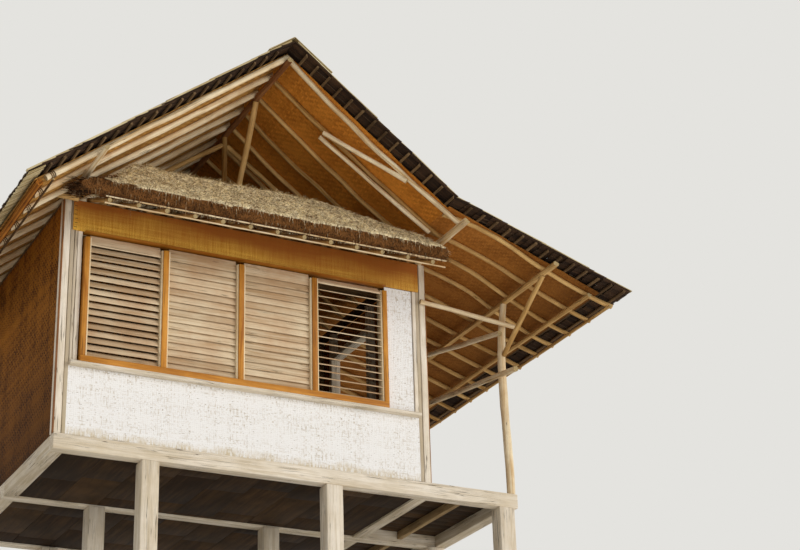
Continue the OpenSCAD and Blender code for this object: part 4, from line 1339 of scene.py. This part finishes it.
def board_floor(node, board_w, board_l, name, rows_along=0):
    """Fills each bay of a floor with rows of boards that run along one axis."""
    pile = Pile(name)
    rows_across = 1 - rows_along
    for low, high in blocks(node):
        rows = max(1, round((high[rows_across] - low[rows_across]) / board_w))
        width = (high[rows_across] - low[rows_across]) / rows
        for row in range(rows):
            place = low[rows_along] - pile.random.uniform(0, board_l * 0.8)
            while place < high[rows_along] - 0.02:
                near = low.copy()
                far = high.copy()
                near[rows_along] = max(place, low[rows_along])
                far[rows_along] = min(place + board_l, high[rows_along]) - board_gap
                near[rows_across] = low[rows_across] + row * width
                far[rows_across] = near[rows_across] + width - pile.random.uniform(board_gap, 0.005)
                place += board_l
                if far[rows_along] - near[rows_along] > least_board:
                    board = block(near, far)
                    pile.add(timber(board, rows_along, pile.random, 0.0015, 0.0, 0.0004, 0.4))
    return pile.finish("floor_wood", ["floor_wood"], [node])


board_floor("floor_boards", 0.14, 2.4, "room_boards")
board_floor("veranda_deck", 0.12, 1.2, "deck_boards")
board_floor("floor_lining", 0.37, 0.78, "lining_boards", rows_along=1)

# %% [markdown]
# ## Roof layers
# Three things lie on the rafters: a woven mat, battens across it, and lapped shingles. All follow
# a slope, so a small `Slope` turns a distance down the slope and a height above the rafters into
# a place.

# %% The slopes
class Slope:
    """One slope: where it starts, which way it falls and how steeply."""

    def __init__(self, start_x, end_x, top, pitch):
        self.way = 1 if end_x > start_x else -1
        self.start = Vector((start_x, 0, top(start_x)))
        self.down = Vector((self.way * math.cos(pitch), 0, -math.sin(pitch)))
        self.out = Vector((self.way * math.sin(pitch), 0, math.cos(pitch)))
        self.length = abs(end_x - start_x) / math.cos(pitch)

    def place(self, down, y, height):
        """A place so far down the slope, along the house, and over the rafters."""
        return corner + self.start + self.down * down + self.out * height + Vector((0, y, 0))


left_eave = local(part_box("left_shingles")[0]).x
right_eave = local(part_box("veranda_shingles")[1]).x
verge = -local(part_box("left_shingles")[0]).y
verge_inset = 0.012
roof_span = room_d + 2 * verge
slopes = {
    "left": Slope(ridge_x, left_eave, main_top, main_pitch),
    "right": Slope(ridge_x, break_x, main_top, main_pitch),
    "veranda": Slope(break_x, right_eave, veranda_top, veranda_pitch),
}
for side, slope in slopes.items():
    print(side, "slope", round(slope.length, 3), "m long")

# %% [markdown]
# ## Mats
# A mat is one sheet. From below it shows between the rafters, and its frayed edge ends a little
# past the outer ones. A grid laid on the slope, with an uneven edge, is solidified into it. On the
# veranda the mat was laid slightly askew, so its reach past the wall changes down the slope. The
# left mat goes on past its solid and droops a little, down to the rolled edge.

# %% Woven mats
mat_out = 0.805
veranda_mat_out = (0.85, 0.775)
mat_gap = 0.0004
mat_rows = 0.04
mat_columns = 32
droop_l = 0.12


def weave_mat(name, slope, length, replaced, droop=0.0, out=(mat_out, mat_out), finish_name="roof_mat"):
    pile = Pile(name)
    part = bmesh.new()
    rows = max(2, int(length / mat_rows))
    bmesh.ops.create_grid(part, x_segments=rows, y_segments=mat_columns, size=0.5)
    grain = stick_layers(part)[0]
    for v in part.verts:
        down = (v.co.x + 0.5) * length
        reach = out[0] + (out[1] - out[0]) * down / length
        y = v.co.y * (room_d + 2 * reach) + room_d / 2
        ragged = noise.noise((down * 4, y * 4, 3)) * 0.012 + noise.noise((down * 22, y, 5)) * 0.007
        ragged *= 1 if abs(v.co.y) > 0.499 else 0
        v[grain] = (down, y, 0)
        past = max(0.0, down - (length - droop_l)) / droop_l
        ripple = noise.noise((down * 2, y * 2.5, 7)) * droop * past
        v.co = slope.place(down, y + ragged * math.copysign(1, v.co.y), mat_gap + ripple)
    bmesh.ops.solidify(part, geom=part.faces[:], thickness=-(mat_t - 2 * mat_gap))
    bmesh.ops.recalc_face_normals(part, faces=part.faces[:])
    pile.add(part)
    return pile.finish("roof_mat", [finish_name], [replaced])


eave_lap = 0.085
left_mat_end = (ridge_x - local(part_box("left_mat")[0]).x) / math.cos(main_pitch)
veranda_mat_end = (local(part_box("veranda_mat")[1]).x - break_x) / math.cos(veranda_pitch)
left_length = left_mat_end + eave_lap
weave_mat("left_mat_woven", slopes["left"], left_length, "left_mat", droop=0.01, finish_name="left_mat")
weave_mat("right_mat_woven", slopes["right"], slopes["right"].length, "right_mat")
weave_mat(
    "veranda_mat_woven",
    slopes["veranda"],
    veranda_mat_end,
    "veranda_mat",
    out=veranda_mat_out,
    finish_name="veranda_mat",
)

# %% [markdown]
# ## The left eave
# There the mat's edge is rolled up, rusty brown, past the ends of the rafters. A thin lath runs
# along under the rafters just inside their ends. Roll and lath are thin poles, so `pole` makes
# them too, straight along the house.

# %% Rolled edge and lath
roll_r = 0.032
roll_short = 0.01
roll_back = 0.03
roll_under = 0.004
eave_lath_r = 0.01
eave_lath_past = 0.02
eave_lath_back = 0.055
eave_lath_under = 0.062


def roll_mat_edge():
    pile = Pile("mat_roll")
    across = (-mat_out + roll_short, room_d + mat_out - roll_short)
    path = [slopes["left"].place(left_length - roll_back, y, -roll_r - roll_under) for y in across]
    pile.add(pole(path, [roll_r, roll_r * 0.8], pile.random, 0.012, sides=12, tone=0.4))
    pile.finish("roof_mat", ["mat_roll", "mat_roll"])


def lay_eave_lath():
    pile = Pile("eave_lath")
    across = (-mat_out - eave_lath_past, room_d + mat_out)
    down = left_mat_end - eave_lath_back
    path = [slopes["left"].place(down, y, -eave_lath_under - eave_lath_r) for y in across]
    pile.add(pole(path, [eave_lath_r, eave_lath_r], pile.random, 0.01, sides=7, tone=0.5))
    # The lath takes shaded_pole, painted shade under the rafters.
    pile.finish("pole_wood", ["shaded_pole", "cut_end"])


roll_mat_edge()
lay_eave_lath()

# %% [markdown]
# ## Windings
# Near its low end each left rafter is wound three times with cane. A winding is a short ring round
# the pole, a little thicker than it, with its edges taken off.

# %% Wind the rafters
wind_places = (0.05, 0.068, 0.086)
wind_t = 0.0045
wind_w = 0.009
wind_bevel = 0.002


def wind_rafters():
    pile = Pile("eave_windings")
    for solid in solids("left_rafters"):
        path, radii = spine_of(solid)
        solid.free()
        way = (path[1] - path[0]).normalized()
        turn = way.to_track_quat("Z", "Y").to_matrix().to_4x4()
        size = radii[0] + wind_t
        for place in wind_places:
            ring = bmesh.new()
            spot = Matrix.Translation(path[0] + way * place) @ turn
            bmesh.ops.create_cone(
                ring, cap_ends=True, segments=12, radius1=size, radius2=size, depth=wind_w, matrix=spot
            )
            bmesh.ops.bevel(
                ring,
                geom=ring.edges[:],
                offset=wind_bevel,
                affect="EDGES",
                segments=1,
                profile=0.5,
                material=-1,
            )
            lay_grain(ring, 0, pile.random, pile.random.uniform(0.0, 1.0))
            pile.add(ring)
    pile.finish("pole_wood", ["cane_winding"])


wind_rafters()

# %% [markdown]
# ## Battens
# Split sticks, never quite straight, and cut to length by eye: their uneven ends stand past the
# mat like the rungs of a ladder.

# %% Battens
batten_trim = 0.035


def lay_battens():
    pile = Pile("battens_split")
    for part in solids("roof_battens"):
        low, high = block_of(part)
        for v in part.verts:
            v.co.y += pile.random.uniform(0.0, batten_trim) if v.co.y < (low.y + high.y) / 2 else 0
        pile.add(timber(part, 1, pile.random, 0.004, 0.004, 0.0015, 0.2))
    return pile.finish("batten_wood", ["batten_wood"], ["roof_battens"])


lay_battens()

# %% [markdown]
# ## Shingles
# Thin strips of split wood, about 60 mm wide, each lapped by the next course. A strip is a
# flattened cube with its head low and its butt raised on the course below. The undersides are
# dark brown, partly as unweathered wood and partly as painted shade, and the tops have gone grey.

# %% Split a shingle
strip_w = 0.061
strip_l = 0.30
strip_t = 0.008
bed = 0.0286
butt_rise = 0.0165
shingle_faces = {"top": 0, "under": 1, "pale": 2}
shingle_woods = ["shingle_wood", "shingle_under", "pale_strip"]


def cut_across(part, cuts):
    """Cuts the long edges of a strip's cube, so that the strip can bend."""
    long_edges = [e for e in part.edges if abs(e.verts[0].co.x - e.verts[1].co.x) > 0.5]
    bmesh.ops.subdivide_edges(part, edges=long_edges, cuts=cuts)


def shingle(
    slope, down, y, lift, rng, length, width, low=bed, rise=butt_rise, thickness=strip_t, loose=True
):
    """One strip, its butt at a distance down the slope."""
    head = max(down - length, -low * abs(slope.out.x) / abs(slope.down.x))
    part = bmesh.new()
    bmesh.ops.create_cube(part, size=1)
    for face in part.faces:
        # Undersides, and the sides of the strips at the verges, take shingle_under: partly painted shade.
        hidden = face.normal.z < -0.5 or (abs(face.normal.y) > 0.5 and not loose)
        face.material_index = shingle_faces["under" if hidden else "top"]
    grain, shade = stick_layers(part)
    cut_across(part, 1)
    tone = rng.random()
    start = rng.uniform(0, 60)
    roll = rng.uniform(-0.02, 0.02) if loose else 0.0
    skew = rng.uniform(-0.008, 0.008) if loose else 0.0
    curl = 0.0 if low > bed else rng.uniform(0.0, 0.004)
    for v in part.verts:
        share = v.co.x + 0.5
        thick = 0.5 + 0.5 * share
        height = low + rise * share + lift * share + curl * share * share
        height += (v.co.z + 0.5) * thickness * thick + v.co.y * width * roll
        v[grain] = (v.co.y * width, v.co.z * thickness, share * length + start)
        v[shade] = tone
        v.co = slope.place(head + (down - head) * share, y + v.co.y * width + skew * share, height)
    return part


print("a shingle is", strip_l, "m long,", strip_w, "m wide and", strip_t, "m thick")

# %% [markdown]
# ## Courses
# Every other course starts with half a strip, so no joint lies over another. A short starter
# course closes the eave; on the left its strips are pale as painted light from below. The strips
# of a course sit at slightly different heights, but the two at the verges lie flat.

# %% Lay the courses
course_gap = 0.145
eave_clear = 0.036
starter_l = 0.17
starter_low = bed - 0.004
starter_rise = 0.004


def course_of(
    slope, butt, across, shifted, lift, rng, length, low=bed, rise=butt_rise, pale=False, cut=(0.92, 0.985)
):
    """One course; a shifted one begins and ends with half a strip."""
    row = Pile("row")
    near = -verge + verge_inset
    pitch = (roof_span - 2 * verge_inset) / across
    marks = [near + pitch * i for i in range(across + 1)]
    if shifted:
        marks = [near] + [near + pitch * (i + 0.5) for i in range(across)] + [marks[-1]]
    for i, (left, right) in enumerate(zip(marks, marks[1:])):
        edge = i in (0, len(marks) - 2)
        width = (right - left) * rng.uniform(*cut)
        down = butt - rng.uniform(0.0, 0.014)
        raised = 0.0 if edge else rng.uniform(*lift)
        y = (left + right) / 2
        part = shingle(slope, down, y, raised, rng, length, width, low, rise, loose=not edge)
        if pale:
            colour_faces(part, shingle_faces["pale"])
        row.add(part)
    return row.bm


def lay_shingles(name, slope, replaced, extra=0.0, eave=True, pale_eave=False):
    """All courses of a slope; `extra` lifts the butts of a slope that lies more unevenly."""
    pile = Pile(name)
    rng = pile.random
    back = (bed + eave_clear + extra) * abs(slope.out.x) / abs(slope.down.x)
    reach = slope.length - (back if eave else 0.0)
    courses = round(reach / course_gap)
    across = round(roof_span / strip_w)
    if eave:
        cut = (0.62, 0.82) if pale_eave else (0.9, 0.98)
        strips = across * (2 if pale_eave else 1)
        starter = (slope, reach, strips, courses % 2 == 1, (0.0, 0.001), rng, starter_l)
        # With pale_eave the starter strips are pale_strip: painted light from below.
        pile.add(course_of(*starter, starter_low, starter_rise, pale_eave, cut))
    for course in range(courses):
        butt = reach * (course + 1) / courses
        lift = (extra * 0.4, 0.006 + extra)
        pile.add(course_of(slope, butt, across, course % 2 == 1, lift, rng, strip_l))
    return pile.finish("shingle_wood", shingle_woods, [replaced])


lay_shingles("left_shingles_split", slopes["left"], "left_shingles", pale_eave=True)
lay_shingles("right_shingles_split", slopes["right"], "right_shingles", eave=False)
lay_shingles("veranda_shingles_split", slopes["veranda"], "veranda_shingles", 0.014)

# %% [markdown]
# ## Verge strips
# Along both gables thin bleached strips, each about half a metre long, lie on the ends of the
# courses and give the roof its light, nearly straight outline. Each is a flattened cube like a
# shingle, and its butt lies on the head of the strip below it.

# %% Lay the verge strips
verge_strip_l = 0.55
verge_strip_w = 0.045
verge_strip_t = {"left": 0.016, "right": 0.007, "veranda": 0.007}
verge_strip_low = 0.045
verge_strip_rise = 0.005
verge_strip_lap = 0.05
verge_strip_in = 0.006
verge_strip_clear = 0.012
verge_strip_askew = 0.012


def verge_strip(slope, thickness, pitch, i, edge, rng):
    """One strip of a verge, counted from the top; `edge` is -1 for the front and 1 for the back."""
    outer = room_d / 2 + edge * (room_d / 2 + verge - verge_strip_in)
    part = bmesh.new()
    bmesh.ops.create_cube(part, size=1)
    cut_across(part, 4)
    lay_grain(part, 0, rng, rng.uniform(0.0, 0.7))
    grain = stick_layers(part)[0]
    askew = [rng.uniform(0.0, verge_strip_askew) for _ in range(2)]
    width = verge_strip_w * rng.uniform(0.8, 1.0)
    length = pitch + verge_strip_lap
    butt = pitch * (i + 1)
    top = butt - length
    head = max(top, 0.0)
    for v in part.verts:
        share = v.co.x + 0.5
        v[grain] = (v.co.y * width, v.co.z * thickness, top + share * length)
        inset = width * (0.5 - v.co.y * edge) + askew[0] + (askew[1] - askew[0]) * share
        height = verge_strip_low + verge_strip_rise * share + (v.co.z + 0.5) * thickness
        v.co = slope.place(head + (butt - head) * share, outer - edge * inset, height)
    bmesh.ops.recalc_face_normals(part, faces=part.faces[:])
    return part


def lay_verge_strips():
    pile = Pile("verge_strips")
    for side, slope in slopes.items():
        thickness = verge_strip_t[side]
        count = round(slope.length / verge_strip_l)
        back = (verge_strip_low + thickness + verge_strip_clear) * abs(slope.out.x) / abs(slope.down.x)
        pitch = (slope.length - back) / count
        for edge in (-1, 1):
            for i in range(count):
                pile.add(verge_strip(slope, thickness, pitch, i, edge, pile.random))
    return pile.finish("shingle_wood", ["pale_strip"])


lay_verge_strips()

# %% [markdown]
# ## Ridge boards
# The ridge is closed with long boards laid across it on both slopes, over the top courses. They
# are shingles too, only longer and wider, so the same strip makes them.

# %% Lay the ridge boards
cap_low = 0.0668
cap_reach = {"left": 0.27, "right": 0.42}
cap_w = 0.125
cap_share = 0.97
cap_rise = 0.001
cap_t = 0.0095


def lay_ridge_boards():
    pile = Pile("ridge_boards_split")
    rng = pile.random
    across = round(roof_span / cap_w)
    for side, reach in cap_reach.items():
        row = Pile("row")
        for i in range(across):
            y = -verge + verge_inset + (i + 0.5) * (roof_span - 2 * verge_inset) / across
            down = reach - rng.uniform(0.0, 0.02)
            width = cap_w * cap_share
            part = shingle(slopes[side], down, y, 0.0, rng, reach * 2, width, cap_low, cap_rise, cap_t)
            if i in (0, across - 1):
                colour_faces(part, shingle_faces["pale"])
            row.add(part)
        pile.add(row.bm)
    return pile.finish("shingle_wood", shingle_woods, ["ridge_boards"])


lay_ridge_boards()

# %% [markdown]
# ## Grass thatch, its finish
# Cut grass is straw-coloured and its butts are red-brown. The bright straw where the sun reaches
# it and the dark butts that hang in the shade are partly painted light and shade. Stalks stand on
# the bundled body, and it shows between them, so the finish that both share has a fine broken
# noise along the stalks: bright stalk, and a dark gap that is painted shade between the stalks.

# %% Thatch finishes
def thatch(name, light, dark, gap, gaps):
    material, w, shader = new_material(name, 0.9)
    spot = w.attribute("grain")
    tone = w.attribute("tone", "Fac")
    place = w.add("TexCoord").outputs["Object"]
    stalk = w.stretched(spot, (230, 230, 60), detail=3, roughness=0.7)
    clump = w.noise(place, 16.0, detail=3)
    by_clump = w.between(clump, 0.4, 0.7, 0.0, 0.4)
    by_stalk = w.between(tone, 0.5, 1.0, 0.0, 0.9)
    share = w.sum("ADD", by_clump, by_stalk, clamp=True)
    colour = w.blend(share, paint(light), paint(dark))
    shade = w.between(stalk, 0.35, 0.65, 0.75, 1.25)
    colour = w.shaded(colour, shade)
    # The dark holes are painted shade between the stalks.
    hole = w.between(stalk, gaps, gaps - 0.08, 0.0, 1.0)
    w.put(shader.inputs["Base Color"], w.blend(hole, colour, paint(gap)))
    bump(w, shader, stalk, 0.004)
    return material


finish["straw"] = thatch("straw", "#FFF0C8", "#80592A", "#1E1208", 0.45)
finish["straw_butt"] = thatch("straw_butt", "#80542A", "#321E0C", "#120A04", 0.49)
print("thatch finishes: straw, straw_butt")

# %% [markdown]
# ## A stalk of grass
# A stalk is a three-sided cone that grows out of a face: down the slope on top, hanging from the
# lip, splayed at the two ends. Straw turns into dark butts a little under the lip, and at the
# frayed left end; there the dark is partly painted shade. `border` says where, as places along
# the front and heights over the sills.

# %% Grass
border = ((0.297, 2.285), (0.764, 2.244), (1.044, 2.209), (1.557, 2.245), (3.18, 2.257))
left_fray = 0.33


class Grass:
    """Stands stalks on a roughened body."""

    def __init__(self, name, low, high):
        self.pile = Pile(name)
        self.low = low
        self.high = high

    def is_butt(self, place, normal, ragged=0.0):
        """Whether a place shows red-brown butts, and not straw; faces that look down and the frayed left
        end get them partly as painted shade.
        """
        wave = noise.noise(place * 9) * 0.03 + noise.noise(place * 37) * 0.018 + ragged
        spot = local(place)
        line = float(np.interp(spot.x, [p[0] for p in border], [p[1] for p in border]))
        lip = spot.z < line + wave and normal.z < 0.6
        frayed = place.x - self.low.x < left_fray * (1 - (place.z - self.low.z) * 1.1) + wave * 4
        return lip or frayed or normal.z < -0.2

    def way(self, normal, rng):
        """The way a stalk grows out of a face."""
        down = Vector((0, 0, -1)) + normal * normal.z
        if down.length < 0.05:
            down = Vector((0, -1, 0))
        down.normalize()
        lift = 0.42 if normal.z > 0.2 else 0.25
        if abs(normal.x) > 0.6:
            down = (down + Vector((math.copysign(0.5, normal.x), -0.5, 0))).normalized()
        jitter = Vector((rng.gauss(0, 0.2), rng.gauss(0, 0.16), rng.gauss(0, 0.16)))
        return (down + normal * lift + jitter).normalized()

    def stalk(self, bm, root, way, length, thick, tone, butt):
        """One stalk in its place; `butt` is 1 for a dark one and 0 for straw."""
        turn = way.to_track_quat("Z", "Y").to_matrix().to_4x4()
        spot = Matrix.Translation(root + way * length / 2) @ turn
        made = bmesh.ops.create_cone(
            bm, cap_ends=True, segments=3, radius1=thick / 2, radius2=0, depth=length, matrix=spot
        )["verts"]
        grain, shade = stick_layers(bm)
        start = tone * 97
        for v in made:
            v[grain] = (start, start, (v.co - root).dot(way) + start)
            v[shade] = tone
        for face in set(f for v in made for f in v.link_faces):
            face.material_index = butt


thatch_solid = solids("awning_thatch")[0]
merge_flats(thatch_solid)
grass = Grass("thatch_grass", *block_of(thatch_solid))
print("the thatch reaches from", tuple(grass.low), "to", tuple(grass.high))

# %% [markdown]
# ## Thatch body
# The frame's solid is the bundled mass. It is sliced all three ways and roughened by noise, and
# it is drawn in a little to leave room for the stalks.

# %% Roughen the body
slice_steps = (0.05, 0.045, 0.04)
body_sunk = 0.014


def roughen(grass, part):
    for way, step in enumerate(slice_steps):
        slice_along(part, way, step)
    bmesh.ops.remove_doubles(part, verts=part.verts[:], dist=0.004)
    part.normal_update()
    places = [(v, v.co.copy(), v.normal.copy()) for v in part.verts]
    for v, place, normal in places:
        rough = noise.noise(place * 5) * 0.012 + noise.noise(place * 23) * 0.007
        v.co = place - normal * (body_sunk + rough)
    grain, shade = stick_layers(part)
    for v in part.verts:
        v[grain] = (v.co.x, v.co.y * 0.7 + v.co.z * 0.7, v.co.y * 0.7 - v.co.z * 0.7)
        v[shade] = 0.5
    part.normal_update()
    for face in part.faces:
        face.material_index = int(grass.is_butt(face.calc_center_median(), face.normal))


roughen(grass, thatch_solid)
grass.pile.add(thatch_solid.copy())
print("thatch body", len(thatch_solid.faces), "faces")

# %% [markdown]
# ## Stalks on the body
# Each face gets stalks by its area, at places drawn at random. A butt is a quarter longer than a
# straw stalk, and among the butts a few stay straw. The underside is left bare.

# %% Grow the stalks
stalk_gap = 0.0135
stalk_l = (0.03, 0.085)
stalk_w = (0.004, 0.008)
stalk_root = 0.012
butt_longer = 1.25
faces_a_row = 12


def grow(grass, part):
    rng = grass.pile.random
    bmesh.ops.triangulate(part, faces=part.faces[:])
    faces = [f for f in part.faces if f.normal.z > -0.6]
    row = Pile("row")
    for count, face in enumerate(faces, 1):
        a, b, c = [v.co for v in face.verts]
        wanted = face.calc_area() / stalk_gap ** 2
        number = int(wanted) + (rng.random() < wanted % 1)
        for _ in range(number):
            s, t = sorted((rng.random(), rng.random()))
            root = a * s + b * (t - s) + c * (1 - t)
            butt = grass.is_butt(root, face.normal, rng.gauss(0, 0.014))
            length = rng.uniform(*stalk_l) * (butt_longer if butt else 1.0)
            way = grass.way(face.normal, rng)
            skin = int(butt and rng.random() > 0.08)
            tone = rng.random() if skin or not butt else rng.uniform(0.7, 0.95)
            grass.stalk(row.bm, root - way * stalk_root, way, length, rng.uniform(*stalk_w), tone, skin)
        if count % faces_a_row == 0:
            grass.pile.add(row.bm)
            row = Pile("row")
    grass.pile.add(row.bm)
    part.free()


grow(grass, thatch_solid)
print("thatch with its stalks", len(grass.pile.bm.faces), "faces")

# %% [markdown]
# ## Loose stalks
# Some stalks work loose from a bundle. Long ones hang from the lip, dark ones lie along it and
# stick out past the left end, and three are seen singly against the band. The dark of those at
# the left end and the dark straw of the three are painted shade.

# %% Hang the loose stalks
hanging = 60
lying = 260
single_stalks = ((0.41, 0.28), (2.12, 0.12), (2.62, 0.1))


def hang(grass, number):
    """Single long stalks that hang from the lip."""
    rng = grass.pile.random
    row = Pile("row")
    for _ in range(number):
        x = rng.uniform(grass.low.x + 0.1, grass.high.x - 0.1)
        root = Vector((x, grass.low.y + rng.uniform(0.06, 0.1), grass.low.z + 0.05))
        way = Vector((rng.gauss(0, 0.12), rng.gauss(0, 0.1), -1)).normalized()
        grass.stalk(row.bm, root, way, rng.uniform(0.08, 0.2), 0.0045, rng.uniform(0, 0.5), 1)
    grass.pile.add(row.bm)


def lie_left(grass, number):
    """Dark stalks that lie along the lip and stick out past the left end; their dark is partly painted
    shade.
    """
    rng = grass.pile.random
    row = Pile("row")
    for _ in range(number):
        share = rng.random()
        root = Vector((
            grass.low.x + rng.uniform(0.02, 0.16),
            grass.low.y + 0.05 + share * (grass.high.y - grass.low.y) * 0.6,
            grass.low.z + rng.uniform(0.03, 0.12) + share * 0.06,
        ))
        way = Vector((-1, rng.gauss(0, 0.14), rng.gauss(-0.05, 0.1))).normalized()
        length = rng.uniform(0.1, 0.26) * (1 - 0.4 * share)
        grass.stalk(row.bm, root, way, length, rng.uniform(0.005, 0.009), rng.uniform(0.75, 1.0), 1)
    grass.pile.add(row.bm)


def hang_at(grass, spots):
    """Single stalks at given places along the front, each with its length."""
    row = Pile("row")
    for x, length in spots:
        root = corner + Vector((x, local(grass.low).y + 0.03, local(grass.low).z + 0.03))
        # A tone of 0.95 darkens their straw as painted shade.
        grass.stalk(row.bm, root, Vector((0.01, 0, -1)).normalized(), length, 0.005, 0.95, 0)
    grass.pile.add(row.bm)


hang(grass, hanging)
lie_left(grass, lying)
hang_at(grass, single_stalks)
grass.pile.finish("thatch", ["straw", "straw_butt"], ["awning_thatch"], crease=60)
